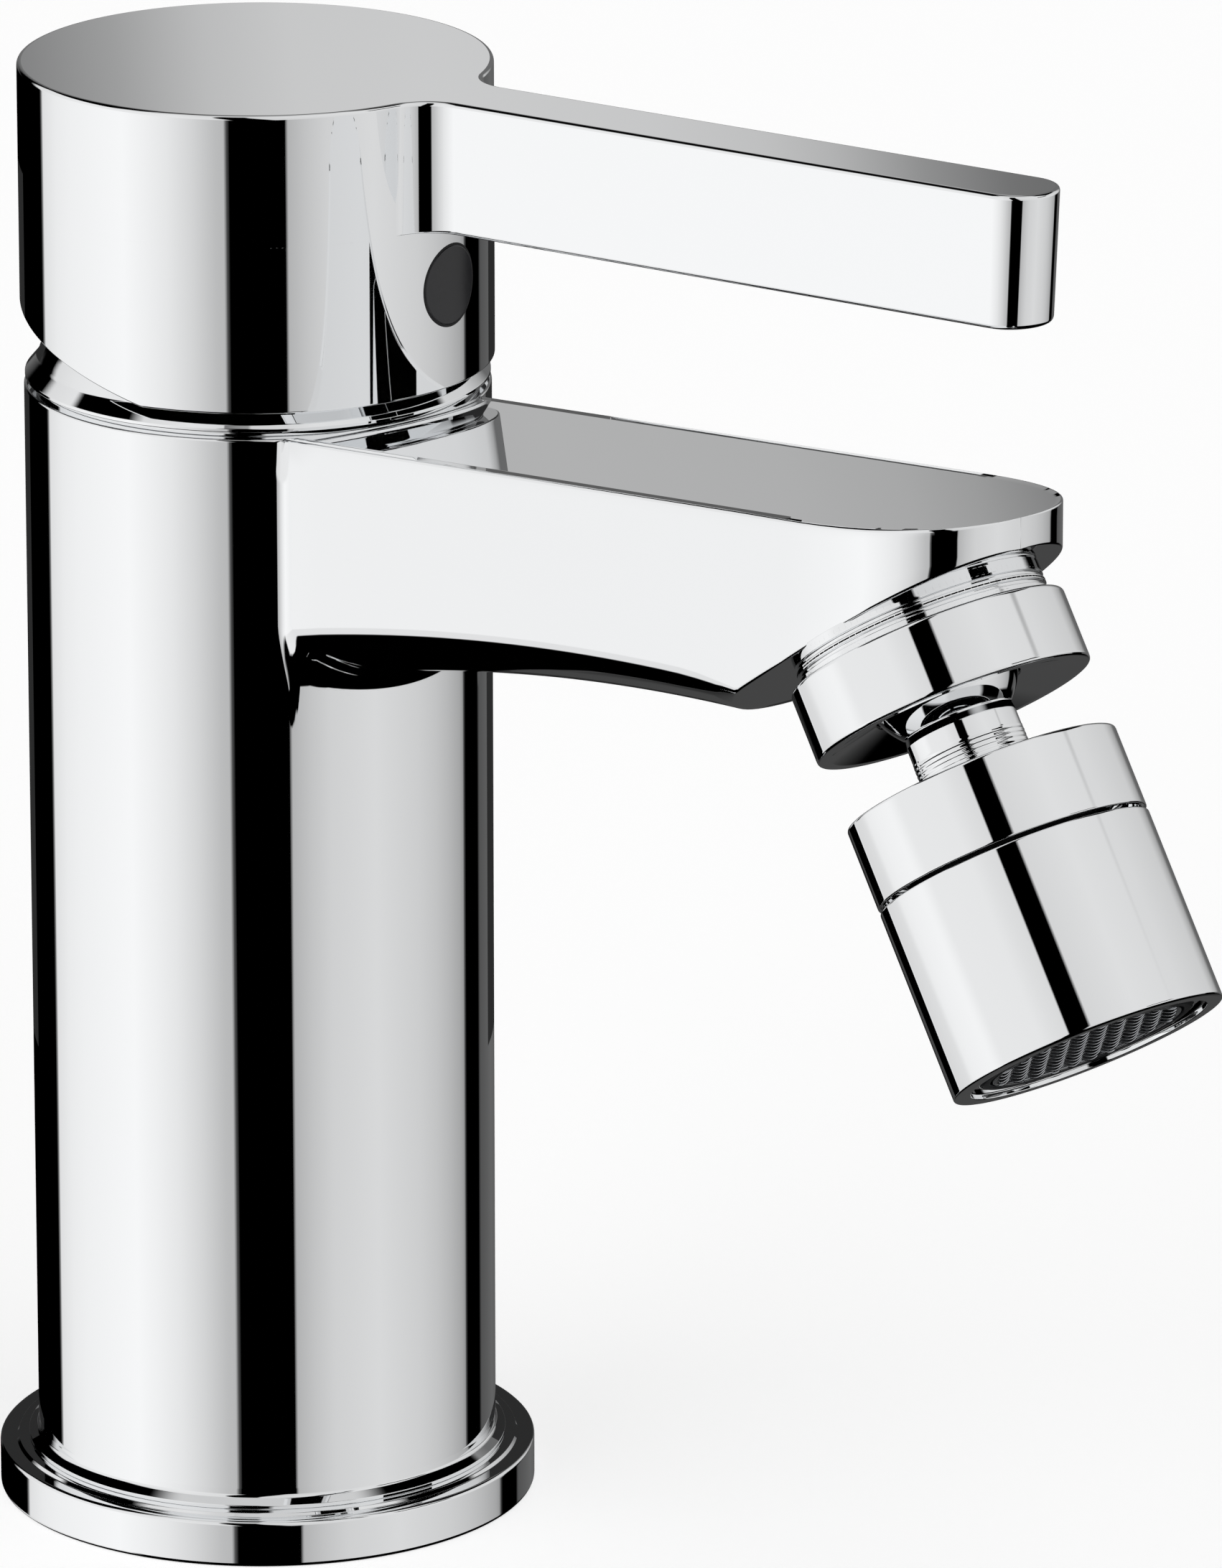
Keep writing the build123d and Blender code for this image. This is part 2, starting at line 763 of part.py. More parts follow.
# Whether an edge lies under the lever, clear of its root
def under_lever(edge):
    middle = edge.center()
    level = edge.bounding_box().size.Z < edge_tolerance
    outside = middle.X > cap_radius + lever_root_fillet
    return level and outside and abs(middle.Z - lever_bottom_height) < edge_tolerance


def handle_screw():
    start = stem_half_width
    end = start + screw_length
    solid = lever_rod(screw_radius, start, end, screw_height)
    key = Plane(origin=(end - screw_key_depth, 0, screw_height), z_dir=(1, 0, 0))
    solid -= extrude(key * RegularPolygon(screw_key_radius, 6), screw_key_depth + overrun)
    return handle_place * solid


# The button's face follows the cap's round wall
def screw_plug():
    solid = lever_rod(plug_radius, plug_seat, cap_radius + overrun, screw_height)
    solid &= rod(cap_radius - plug_recess, cap_bottom_height, lever_bottom_height)
    face_edges = [e for e in solid.edges() if e.center().X > plug_seat + plug_recess]
    return handle_place * chamfer(face_edges, plug_bevel)


def adapter_washer():
    outer = socket_radius - adapter_spigot_clearance
    solid = down_ring(outer, washer_inner_radius, -socket_depth, washer_thickness - socket_depth)
    return outlet_place * solid


def outlet_adapter():
    spigot = socket_radius - adapter_spigot_clearance
    top = washer_thickness - socket_depth
    band = adapter_band_height
    solid = down(
        (adapter_spigot_bore, top),
        (spigot, top),
        (spigot, 0),
        (adapter_band_radius, 0),
        (adapter_band_radius, band),
        (adapter_thread_radius, band),
        (adapter_thread_radius, adapter_thread_depth),
        (adapter_seat_radius, adapter_thread_depth),
        (adapter_seat_radius, adapter_seat_top),
        (adapter_spigot_bore, adapter_seat_top),
    )
    for place in (1, 2):
        middle = band * place / 3
        low = middle - adapter_groove_width / 2
        high = middle + adapter_groove_width / 2
        solid -= down_ring(adapter_band_radius + overrun, adapter_band_radius - adapter_groove, low, high)
    return outlet_place * solid


def joint_collar():
    inside = ball_radius + ball_clearance
    thread = adapter_thread_radius + collar_thread_clearance
    seat = adapter_thread_depth + collar_thread_clearance
    lip = ball_center_depth + collar_lip_depth
    lip_radius = math.sqrt(inside**2 - collar_lip_depth**2)
    rise = collar_bottom - collar_mouth_rise
    solid = down(
        (0, adapter_band_height),
        (collar_radius - collar_bevel, adapter_band_height),
        (collar_radius, adapter_band_height + collar_bevel),
        (collar_radius, collar_bottom - collar_bevel),
        (collar_radius - collar_bevel, collar_bottom),
        (collar_mouth_radius, collar_bottom),
        (lip_radius, max(rise, lip)),
        (0, max(rise, lip)),
    )
    solid -= rod_down(thread, adapter_band_height - overrun, seat)
    solid -= Pos(0, 0, -ball_center_depth) * Sphere(inside)
    return outlet_place * solid


def rod_down(radius, top, low):
    return rod(radius, -low, -top)


def seat_seal():
    height = adapter_seat_top + seat_seal_section + seal_clearance / 2
    return outlet_place * seal(seat_seal_radius, seat_seal_section, -height)


def ball_seat():
    top = adapter_seat_top + 2 * seat_seal_section + seal_clearance
    solid = rod_down(adapter_seat_radius - seat_clearance, top, ball_center_depth)
    return outlet_place * (solid - Pos(0, 0, -ball_center_depth) * Sphere(ball_radius + ball_clearance))


def ball_stem():
    ball = Pos(0, 0, -ball_center_depth) * Sphere(ball_radius)
    ball &= rod_down(ball_radius, ball_center_depth - ball_crown, ball_center_depth + ball_radius)
    solid = ball + rod_down(neck_radius, ball_center_depth, aerator_ceiling)
    return outlet_place * (solid - rod_down(ball_bore_radius, -ball_radius, aerator_ceiling + overrun))


def aerator_cap():
    thread = aerator_thread_radius + aerator_thread_clearance
    neck = neck_radius + adapter_spigot_clearance
    solid = down(
        (neck, aerator_top),
        (aerator_radius - aerator_bevel, aerator_top),
        (aerator_radius, aerator_top + aerator_bevel),
        (aerator_radius, aerator_cap_bottom),
        (thread, aerator_cap_bottom),
        (thread, aerator_ceiling),
        (neck, aerator_ceiling),
    )
    return outlet_place * solid


def aerator_washer():
    solid = down_ring(aerator_thread_radius, washer_inner_radius, aerator_ceiling, shell_spigot_top)
    return outlet_place * solid


def aerator_shell():
    solid = down(
        (aerator_bore_radius, shell_spigot_top),
        (aerator_thread_radius, shell_spigot_top),
        (aerator_thread_radius, aerator_shell_top),
        (aerator_radius, aerator_shell_top),
        (aerator_radius, aerator_bottom - aerator_mouth_bevel / 2),
        (aerator_radius - aerator_mouth_bevel / 2, aerator_bottom),
        (aerator_bore_radius + aerator_mouth_bevel / 2, aerator_bottom),
        (aerator_lip_radius, aerator_lip),
        (aerator_bore_radius, aerator_lip),
    )
    return outlet_place * solid


def aerator_insert():
    outer = aerator_bore_radius - insert_clearance
    solid = down(
        (insert_bore_radius, shell_spigot_top),
        (outer, shell_spigot_top),
        (outer, aerator_lip),
        (insert_mouth_radius, aerator_lip),
        (insert_mouth_radius, insert_step),
        (insert_bore_radius, insert_step),
    )
    return outlet_place * solid


def aerator_mesh():
    outer = insert_mouth_radius - mesh_clearance
    return outlet_place * rod_down(outer, insert_step, insert_step + mesh_thickness)


# A drilled plate at the top of the insert breaks the water into jets
def aerator_diffuser():
    outer = insert_bore_radius - mesh_clearance
    low = shell_spigot_top + diffuser_thickness
    solid = rod_down(outer, shell_spigot_top, low)
    hole = rod_down(diffuser_hole_radius, shell_spigot_top - overrun, low + overrun)
    solid -= PolarLocations(diffuser_ring_radius, diffuser_hole_count) * hole
    return outlet_place * solid


pieces = [
    mixer_body,
    base_flange,
    base_seal,
    cartridge_base,
    port_seals,
    disc_seals,
    fixed_disc,
    moving_disc,
    disc_carrier,
    turret,
    turret_seal,
    pivot_pin,
    cartridge_housing,
    housing_seal,
    cartridge_nut,
    cover_ring,
    stem,
    handle,
    handle_screw,
    screw_plug,
    adapter_washer,
    outlet_adapter,
    joint_collar,
    seat_seal,
    ball_seat,
    ball_stem,
    aerator_cap,
    aerator_washer,
    aerator_shell,
    aerator_insert,
    aerator_diffuser,
    aerator_mesh,
]

os.makedirs("parts", exist_ok=True)
for piece in pieces:
    name = piece.__name__
    shape = piece()
    export_step(shape, f"parts/{name}.step")
    print(name, len(shape.solids()), round(shape.volume))
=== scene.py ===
import json
import math

import bpy
import numpy as np
from mathutils import Matrix, Vector


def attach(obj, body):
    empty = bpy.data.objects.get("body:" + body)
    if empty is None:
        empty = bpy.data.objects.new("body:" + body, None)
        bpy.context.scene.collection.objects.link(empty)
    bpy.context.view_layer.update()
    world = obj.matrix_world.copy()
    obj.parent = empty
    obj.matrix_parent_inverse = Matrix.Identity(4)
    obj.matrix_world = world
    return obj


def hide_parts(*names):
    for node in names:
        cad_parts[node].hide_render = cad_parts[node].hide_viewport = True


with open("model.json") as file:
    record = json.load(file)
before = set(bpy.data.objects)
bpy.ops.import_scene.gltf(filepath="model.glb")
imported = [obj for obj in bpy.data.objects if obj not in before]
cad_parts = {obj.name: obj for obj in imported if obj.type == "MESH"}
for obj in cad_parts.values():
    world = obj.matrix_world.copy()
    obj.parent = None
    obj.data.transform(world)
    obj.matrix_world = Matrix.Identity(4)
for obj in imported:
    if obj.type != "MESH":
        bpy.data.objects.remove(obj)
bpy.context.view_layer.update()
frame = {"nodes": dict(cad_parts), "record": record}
nodes = frame["nodes"]
print("frame loaded:", len(nodes), "nodes")

mm = 0.001
# Roundings that many profiles share, in millimetres: a broken edge and a keen one
broken, keen = 0.1, 0.05

# The photograph's view: a long lens, close to level, from the front right of the
# spout. Degrees and metres, with the lens in pixels of a frame of that height.
view = dict(
    azimuth=50.0,
    elevation=17.109,
    roll=-0.047,
    distance=1.290596,
    aimAcross=0.034677,
    aimHeight=0.072816,
    focalPixels=18104.158,
    frameHeight=2184,
    sensor=36.0,
    farthest=50,
)


# Display values to linear ones: a straight foot, then a power of 2.4
def toLinear(shown):
    return np.where(shown <= 0.04045, shown / 12.92, ((shown + 0.055) / 1.055) ** 2.4)


# sRGB hex as the four linear values that shaders want
def linearColour(code):
    shown = np.array([int(code[i:i + 2], 16) for i in (0, 2, 4)]) / 255
    return tuple(toLinear(shown)) + (1.0,)


# One value as an even grey
def greyOf(value):
    return (float(value),) * 3 + (1.0,)


# One shader node with its settings, and its inputs filled or linked
def addNode(tree, kind, settings=None, inputs=None):
    node = tree.nodes.new(kind)
    for key, value in (settings or {}).items():
        setattr(node, key, value)
    for key, value in (inputs or {}).items():
        if isinstance(value, bpy.types.NodeSocket):
            tree.links.new(value, node.inputs[key])
        else:
            node.inputs[key].default_value = value
    return node


# A material with nothing but its shader
def newMaterial(name):
    material = bpy.data.materials.new(name)
    material.use_nodes = True
    tree = material.node_tree
    return material, tree, tree.nodes["Principled BSDF"]


# Noise on the piece's own coordinates, of a size in millimetres, and a roughness
# that follows it between two values
def addGrain(tree, shader, size, detail, smooth, rough):
    place = addNode(tree, "ShaderNodeTexCoord")
    noise = addNode(
        tree,
        "ShaderNodeTexNoise",
        inputs={"Vector": place.outputs["Object"], "Scale": 1 / (size * mm), "Detail": detail},
    )
    spread = addNode(
        tree,
        "ShaderNodeMapRange",
        inputs={"Value": noise.outputs["Fac"], "To Min": smooth, "To Max": rough},
    )
    tree.links.new(spread.outputs["Result"], shader.inputs["Roughness"])
    return noise.outputs["Fac"]


# Bright chrome over polished metal: a hard, nearly white mirror, with faint
# buffing haze a few millimetres across that softens the reflections' edges
def chromePlate(name, colour="F6F7F8", roughness=0.018, hazeSize=4.0):
    material, tree, shader = newMaterial(name)
    addGrain(tree, shader, hazeSize, 3.0, roughness * 0.5, roughness * 1.8)
    shader.inputs["Base Color"].default_value = linearColour(colour)
    shader.inputs["Metallic"].default_value = 1.0
    return material


# A moulded, lapped or turned surface: fine grain, of a size in millimetres, in
# its colour, roughness and relief
def grainedFinish(name, colour, roughness, metallic=0.0, grain=0.6, relief=0.015, shade=0.1):
    material, tree, shader = newMaterial(name)
    rough = min(1.0, roughness * 1.2)
    height = addGrain(tree, shader, grain, 4.0, roughness * 0.8, rough)
    tint = addNode(tree, "ShaderNodeValToRGB", inputs={"Fac": height})
    full = np.array(linearColour(colour))
    tint.color_ramp.elements[0].color = tuple(full[:3] * (1 - shade)) + (1,)
    tint.color_ramp.elements[1].color = tuple(full)
    relieved = {"Height": height, "Strength": 0.4, "Distance": relief * mm}
    bump = addNode(tree, "ShaderNodeBump", inputs=relieved)
    tree.links.new(tint.outputs["Color"], shader.inputs["Base Color"])
    tree.links.new(bump.outputs["Normal"], shader.inputs["Normal"])
    shader.inputs["Metallic"].default_value = metallic
    return material


finishes = {
    "chromed_brass": chromePlate("bright chrome on brass"),
    "chromed_zinc": chromePlate("bright chrome on zinc"),
    # bare turned brass: warm yellow, satin from the tool
    "brass": grainedFinish("turned brass", "C9A45C", 0.28, metallic=1.0, grain=0.3),
    # zinc plated steel: cool grey and half bright
    "steel": grainedFinish("plated steel", "A9ABAE", 0.25, metallic=1.0, grain=0.4),
    # stainless wire, drawn: bright with a soft edge to each highlight
    "steel_mesh": grainedFinish("drawn stainless wire", "C4C6C9", 0.22, metallic=1.0, grain=0.15),
    # nitrile rubber: black, matt from the mould
    "rubber": grainedFinish("moulded nitrile rubber", "1A1A1C", 0.65, grain=0.5, relief=0.03),
    # alumina discs: white with a lapped sheen
    "white_ceramic": grainedFinish("lapped alumina", "EDEBE4", 0.15, grain=0.3),
    # acetal from the mould: waxy white inside the cartridge, near black in the aerator
    "pale_plastic": grainedFinish("white acetal", "E4E4E0", 0.42, grain=0.8),
    "grey_plastic": grainedFinish("grey acetal", "26282B", 0.4, grain=0.8),
    # the screw's plug: dark grey ABS, moulded with a soft polish
    "dark_plastic": grainedFinish(
        "dark grey ABS", "2B2B2E", 0.22, grain=0.9, relief=0.01, shade=0.25
    ),
}
slotOf = {s["node"]: s["material_slot"] for s in frame["record"]["subparts"]}

for name, node in nodes.items():
    node.data.materials.clear()
    node.data.materials.append(finishes[slotOf[name]])
print("finishes given to the CAD nodes")


# A closed or open outline whose corners, rows of across, up and radius, give way
# to parabolas that leave both sides at the same distance: corner plus reach times
# ((1 - s) squared along the side before, s squared along the side after).
# Gives the points and their outward normals.
def softProfile(corners, steps=6, closed=True, leastRound=0.03):
    corners = np.array(corners, float)
    points, rounds = corners[:, :2], np.maximum(corners[:, 2], leastRound)
    before = np.roll(points, 1, 0) - points
    after = np.roll(points, -1, 0) - points
    if not closed:
        before[0], after[-1] = -after[0], -before[-1]
    before /= np.linalg.norm(before, axis=1)[:, None]
    after /= np.linalg.norm(after, axis=1)[:, None]
    inside = np.arccos(np.clip((before * after).sum(1), -1, 1))
    reach = rounds / np.tan(np.maximum(inside, 0.01) / 2)
    share = np.linspace(0, 1, steps)[None, :, None]
    way = (1 - share) ** 2 * before[:, None] + share**2 * after[:, None]
    spots = points[:, None] + reach[:, None, None] * way
    travel = share * after[:, None] - (1 - share) * before[:, None]
    if not closed:
        ends = [0, len(points) - 1]
        spots[ends] = points[ends, None] + travel[ends] * (share - 0.5) * 0.01
    spots, travel = spots.reshape(-1, 2), travel.reshape(-1, 2)
    far = np.roll(spots, -1, 0)
    area = (spots[:, 0] * far[:, 1] - far[:, 0] * spots[:, 1]).sum()
    normals = np.c_[travel[:, 1], -travel[:, 0]] * np.sign(area)
    return spots, normals / np.linalg.norm(normals, axis=1)[:, None]


# Faces of a grid of rows and columns, each a quad of neighbouring points; the last
# column joins the first, so may the last row, and an end row may close on a point
def gridFaces(points, normals, loopRows=False, poles=(None, None)):
    rows, columns = points.shape[:2]
    index = np.arange(rows * columns).reshape(rows, columns)
    side = np.roll(index, -1, 1)
    if loopRows:
        below = np.roll(index, -1, 0)
        quads = np.stack((index, side, np.roll(side, -1, 0), below), -1).reshape(-1, 4)
    else:
        quads = np.stack((index[:-1], side[:-1], side[1:], index[1:]), -1).reshape(-1, 4)
    spots, outward = points.reshape(-1, 3), normals.reshape(-1, 3)
    fans = []
    for row, wanted in zip((0, rows - 1), poles):
        if wanted is not None:
            pole = points[row].mean(0) if wanted is True else np.array(wanted)
            ring = index[row]
            fan = np.stack((ring, np.roll(ring, -1), np.full(columns, len(spots))), -1)
            fans.append(fan[:, ::-1] if row == 0 else fan)
            spots = np.r_[spots, pole[None]]
            outward = np.r_[outward, normals[row].mean(0)[None]]
    first, second, third = spots[quads[:, 0]], spots[quads[:, 1]], spots[quads[:, 2]]
    facing = np.cross(second - first, third - first)
    if (facing * outward[quads[:, 0]]).sum() < 0:
        quads = quads[:, ::-1]
        fans = [fan[:, ::-1] for fan in fans]
    return spots, outward, quads.tolist() + [f for fan in fans for f in fan.tolist()]


# Puts a mesh or a camera in the scene under a name
def newObject(name, data):
    made = bpy.data.objects.new(name, data)
    bpy.context.scene.collection.objects.link(made)
    return made


# A mesh as a piece that moves with a body, and may stand in for CAD nodes
def placePiece(name, mesh, finish, rides, stands=()):
    mesh.materials.append(finishes[finish])
    piece = newObject(name, mesh)
    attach(piece, rides)
    if stands:
        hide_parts(*stands)


# One piece from one or more grids, with the surfaces' own normals for its shading
def newPiece(name, grids, finish, rides, stands=()):
    spots, outward, faces = [], [], []
    for grid in grids:
        these, those, quads = gridFaces(*grid)
        start = sum(len(s) for s in spots)
        spots.append(these)
        outward.append(those)
        faces += [[start + corner for corner in face] for face in quads]
    mesh = bpy.data.meshes.new(name)
    spots, outward = np.concatenate(spots), np.concatenate(outward)
    outward /= np.maximum(np.linalg.norm(outward, axis=1)[:, None], 1e-9)
    mesh.from_pydata((spots * mm).tolist(), [], faces)
    mesh.polygons.foreach_set("use_smooth", np.ones(len(faces), bool))
    mesh.update()
    mesh.normals_split_custom_set_from_vertices(outward.tolist())
    placePiece(name, mesh, finish, rides, stands)


# A profile of radius and height turned about an axis: origin plus axis times
# height plus radius times the turning direction
def turned(corners, origin=(0, 0, 0), axis=(0, 0, 1), steps=6, turns=256, closed=True):
    profile, slope = softProfile(corners, steps, closed)
    axis = np.array(axis, float)
    side = np.array((0.0, 1.0, 0.0))
    angle = np.linspace(0, 2 * np.pi, turns, endpoint=False)[None, :, None]
    radial = np.cos(angle) * side + np.sin(angle) * np.cross(axis, side)
    far, up = profile.T[:, :, None, None]
    points = np.array(origin) + axis * up + radial * far
    normals = axis * slope[:, 1, None, None] + radial * slope[:, 0, None, None]
    return points, normals, closed, (None, None) if closed else (True, True)


# Base flange: a turned disc with a raised land round the column's foot
flange = dict(
    radius=26.9,
    height=4.7,
    edge=0.45,
    lowerEdge=0.4,
    landRadius=25.0,
    landHeight=5.0,
    landStep=0.3,
    landEdge=0.15,
    bore=20.2,
    boreEdge=0.2,
)
newPiece(
    "base_plate",
    [turned([
        (flange["bore"], 0.0, flange["boreEdge"]),
        (flange["radius"], 0.0, flange["lowerEdge"]),
        (flange["radius"], flange["height"], flange["edge"]),
        (flange["landRadius"] + flange["landStep"], flange["height"], flange["landEdge"]),
        (flange["landRadius"], flange["landHeight"], flange["landEdge"]),
        (flange["bore"], flange["landHeight"], broken),
    ])],
    "chromed_brass", "body", ["base_flange"],
)

# Body: a turned column whose foot flares on to the flange through a small cove
body = dict(
    radius=23.0,
    rim=114.7,
    rimEdge=0.25,
    bore=19.3,
    boreDepth=6.0,
    boreStart=8.0,
    boreFlare=1.0,
    footRadius=24.0,
    footBottom=5.0,
    footTop=5.4,
    footEdge=0.12,
    coveFoot=(0.05, 6.0, 0.5),
    coveTop=6.8,
    coveRound=2.0,
)
column = turned([
    (body["bore"], body["rim"] - body["boreDepth"], broken),
    (body["bore"], body["boreStart"], broken),
    (body["bore"] + body["boreFlare"], body["footBottom"], broken),
    (body["footRadius"], body["footBottom"], broken),
    (body["footRadius"], body["footTop"], body["footEdge"]),
    (body["radius"] + body["coveFoot"][0], *body["coveFoot"][1:]),
    (body["radius"], body["coveTop"], body["coveRound"]),
    (body["radius"], body["rim"], body["rimEdge"]),
    (body["bore"], body["rim"], broken),
])

# The spout's sizes. Pairs of rows hold a place and the value there, in between
# straight; root rows go by how far a wall faces down, from 0 to 1.
spout = dict(
    halfWidth=12.4,
    straightEnd=94.0,
    tip=112.5,
    noseShare=0.66,
    noseEnd=0.02,
    topHeight=112.58,
    topPitch=6.25,
    topEdge=0.3,
    outletX=98.1,
    outletHeight=112.2,
    outletTilt=34.0,
    arcRadius=322.0,
    arcPoint=(80.0, 99.2),
    arcPitch=4.0,
    crown=17.9,
    lowerRounds=((80, 87, 93), (3.5, 1.2, 0.3)),
    faceEdge=0.25,
    edgeSearch=(74, 92, 3601),
    rootSide=1.0,
    rootSideEnds=0.35,
    rootTopEnds=1.2,
    rootLeast=0.02,
    rootDrop=((0, 0.15, 0.3, 0.5, 0.72, 0.8, 0.9, 1), (0, 2.5, 5.5, 8.5, 8.5, 5.0, 2.8, 1.7)),
    rootOnward=((0, 0.5, 1), (1.0, 2.5, 3.0)),
    insideShare=0.9,
    insideTop=112,
    middle=(60.0, 0, 108.0),
)
# How many points or rows each stretch of the spout has
spoutSteps = dict(
    top=12, corner=7, wall=5, bend=11, under=14, straight=26, face=10, nose=46, root=15, lean=6
)


# Underside of the spout: an arc about a point far below, whose radius grows off
# the middle as a shallow crown
def underside(x, y):
    crown, pitch = spout["crown"], math.radians(spout["arcPitch"])
    arcX = spout["arcPoint"][0] + spout["arcRadius"] * math.sin(pitch)
    arcHeight = spout["arcPoint"][1] - spout["arcRadius"] * math.cos(pitch)
    radius = spout["arcRadius"] + crown - np.sqrt(np.maximum(crown**2 - y**2, 0.01))
    return arcHeight + np.sqrt(np.maximum(radius**2 - (x - arcX) ** 2, 0.01))


# The outlet's slanted face: its height rises with x by the tangent of its tilt
def outletFace(x):
    slope = math.tan(math.radians(spout["outletTilt"]))
    return spout["outletHeight"] + (x - spout["outletX"]) * slope


# The flat top, which rises from the axis by the tangent of its pitch
def spoutTop(x):
    return spout["topHeight"] + x * math.tan(math.radians(spout["topPitch"]))


# Direction along a row of points, weighted so that uneven steps don't tilt it
def alongRows(points):
    step = np.diff(points, axis=0)
    length = np.linalg.norm(step, axis=2, keepdims=True) + 1e-9
    way = step / length
    inner = (way[:-1] * length[1:] + way[1:] * length[:-1]) / (length[1:] + length[:-1])
    return np.concatenate((way[:1], inner, way[-1:]))


# Places and half widths of the round nose: a cubic curve whose two inner points
# lie level with its start and with its tip, as a share of the nose
def noseCurve():
    half, share = spout["halfWidth"], spout["noseShare"]
    start, tip = spout["straightEnd"], spout["tip"]
    t = np.linspace(0, 1, spoutSteps["nose"])[1:] ** 0.9
    first, second, third, fourth = (1 - t) ** 3, 3 * (1 - t) ** 2 * t, 3 * (1 - t) * t**2, t**3
    grip = start + (tip - start) * share
    noseX = first * start + second * grip + (third + fourth) * tip
    noseHalf = half * (first + second + third * share)
    noseHalf[-1] = spout["noseEnd"]
    return noseX, noseHalf


# Where the slanted face meets the crowned underside, for shares of the half width:
# the first x at which the face is the higher of the two
def faceEdgeCurve():
    x = np.linspace(*spout["edgeSearch"])
    shares = np.linspace(0, 1, 41)
    face, half = outletFace(x), spout["halfWidth"]
    return shares, np.array([x[np.argmax(face > underside(x, s * half))] for s in shares])


# One section at places x (one for each share across) and half width h, from the
# middle of the top round by the near wall to the middle of the underside. Both
# corners are parabolas as in softProfile.
def sectionHalf(xOf, h, bottomOf, lowRound):
    corner = np.linspace(0, 1, spoutSteps["corner"])
    topReach = min(spout["topEdge"], h * 0.4)
    across = np.linspace(0, 1 - topReach / h, spoutSteps["top"])
    edgeTop = spoutTop(xOf(np.ones(1)))[0]
    edgeLow, inward = bottomOf(np.array([1.0]))[0], bottomOf(np.array([0.96]))[0]
    slope = (inward - edgeLow) / (0.04 * h)
    turn = math.pi / 2 + math.atan(slope)
    reach = min(lowRound * math.tan(turn / 2), h * 0.45, (edgeTop - edgeLow) * 0.4)
    wall = np.linspace(edgeTop - topReach, edgeLow + reach, spoutSteps["wall"])[1:-1]
    s = np.linspace(0, 1, spoutSteps["bend"])[:, None]
    inwards = np.array((-1.0, slope)) / math.hypot(1, slope)
    bend = np.array((h, edgeLow)) + reach * ((1 - s) ** 2 * np.array((0.0, 1.0)) + s**2 * inwards)
    under = np.linspace(bend[-1, 0] / h, 0, spoutSteps["under"])[1:]
    return np.concatenate((
        np.c_[across * h, spoutTop(xOf(across))],
        np.c_[h - topReach * (1 - corner) ** 2, edgeTop - topReach * corner**2],
        np.c_[np.full(len(wall), h), wall],
        bend,
        np.c_[under * h, bottomOf(under)],
    ))


# Stations from the column to the tip, each a function from the share across to x,
# a half width, and whether its lower side lies on the slanted face
def spoutStations():
    half, gap = spout["halfWidth"], spout["faceEdge"]
    shares, edge = faceEdgeCurve()

    def edgeAt(w):
        return np.interp(np.abs(w), shares, edge)

    def rootAt(w):
        return np.sqrt(body["radius"] ** 2 - (w * half) ** 2)

    # the column's wall gives way to the face's edge, and that to the nose's start
    def beforeEdge(s):
        return lambda w: rootAt(w) + (edgeAt(w) - gap - rootAt(w)) * s

    def pastEdge(s):
        return lambda w: (edgeAt(w) + gap) * (1 - s) + spout["straightEnd"] * s

    def level(x):
        return lambda w: np.full(np.shape(w), x)

    straight = [(beforeEdge(s), half, False) for s in np.linspace(0, 1, spoutSteps["straight"])]
    onFace = [(pastEdge(s), half, True) for s in np.linspace(0, 1, spoutSteps["face"])]
    return straight + onFace + [(level(x), h, True) for x, h in zip(*noseCurve())]


# Loops round the spout at every station, near half and mirrored far half
def spoutLoops():
    rows = []
    for xOf, h, onFace in spoutStations():

        def bottomOf(w):
            return outletFace(xOf(w)) if onFace else underside(xOf(w), w * spout["halfWidth"])

        lowRound = np.interp(xOf(np.ones(1))[0], *spout["lowerRounds"])
        section = sectionHalf(xOf, h, bottomOf, lowRound)
        place = xOf(np.clip(section[:, 0] / h, 0, 1))
        rows.append(np.c_[place, -section[:, 0], section[:, 1]])
    near = np.array(rows)
    far = near[:, -2:0:-1] * np.array((1, -1, 1))
    return np.concatenate((near, far), 1), near.shape[1]


# Fillet from the column's wall on to the spout: along each line a parabola whose
# middle point is on the first section. How far that faces down decides how far
# below it, and how far aside, the line leaves the column.
def rootFillet(loop, bottomIndex):
    first = loop[0]
    around = np.roll(first, -1, 0) - np.roll(first, 1, 0)
    out = np.cross(around, np.array((1.0, 0, 0)))
    out[:, 0] = 0
    out /= np.linalg.norm(out, axis=1)[:, None]
    if out[bottomIndex, 2] > 0:
        out = -out
    ahead = loop[1] - first
    ahead /= np.linalg.norm(ahead, axis=1)[:, None]
    lower, upper = np.clip(-out[:, 2], 0, 1), np.clip(out[:, 2], 0, 1)
    least, radius = spout["rootLeast"], body["radius"]
    offTop = np.clip(1 - spout["rootTopEnds"] * upper, least, 1)
    aside = spout["rootSide"] * np.clip(1 - lower / spout["rootSideEnds"], least, 1) * offTop
    onward = np.interp(lower, *spout["rootOnward"]) * offTop
    height = first[:, 2] - np.interp(lower, *spout["rootDrop"])
    angle = np.arctan2(first[:, 1], first[:, 0]) + np.sign(first[:, 1]) * aside / radius
    start = np.c_[radius * np.cos(angle), radius * np.sin(angle), height]
    s = np.linspace(0, 1, spoutSteps["root"])[:, None, None]
    end = first + onward[:, None] * ahead
    return (1 - s) ** 2 * start + 2 * s * (1 - s) * first + s**2 * end


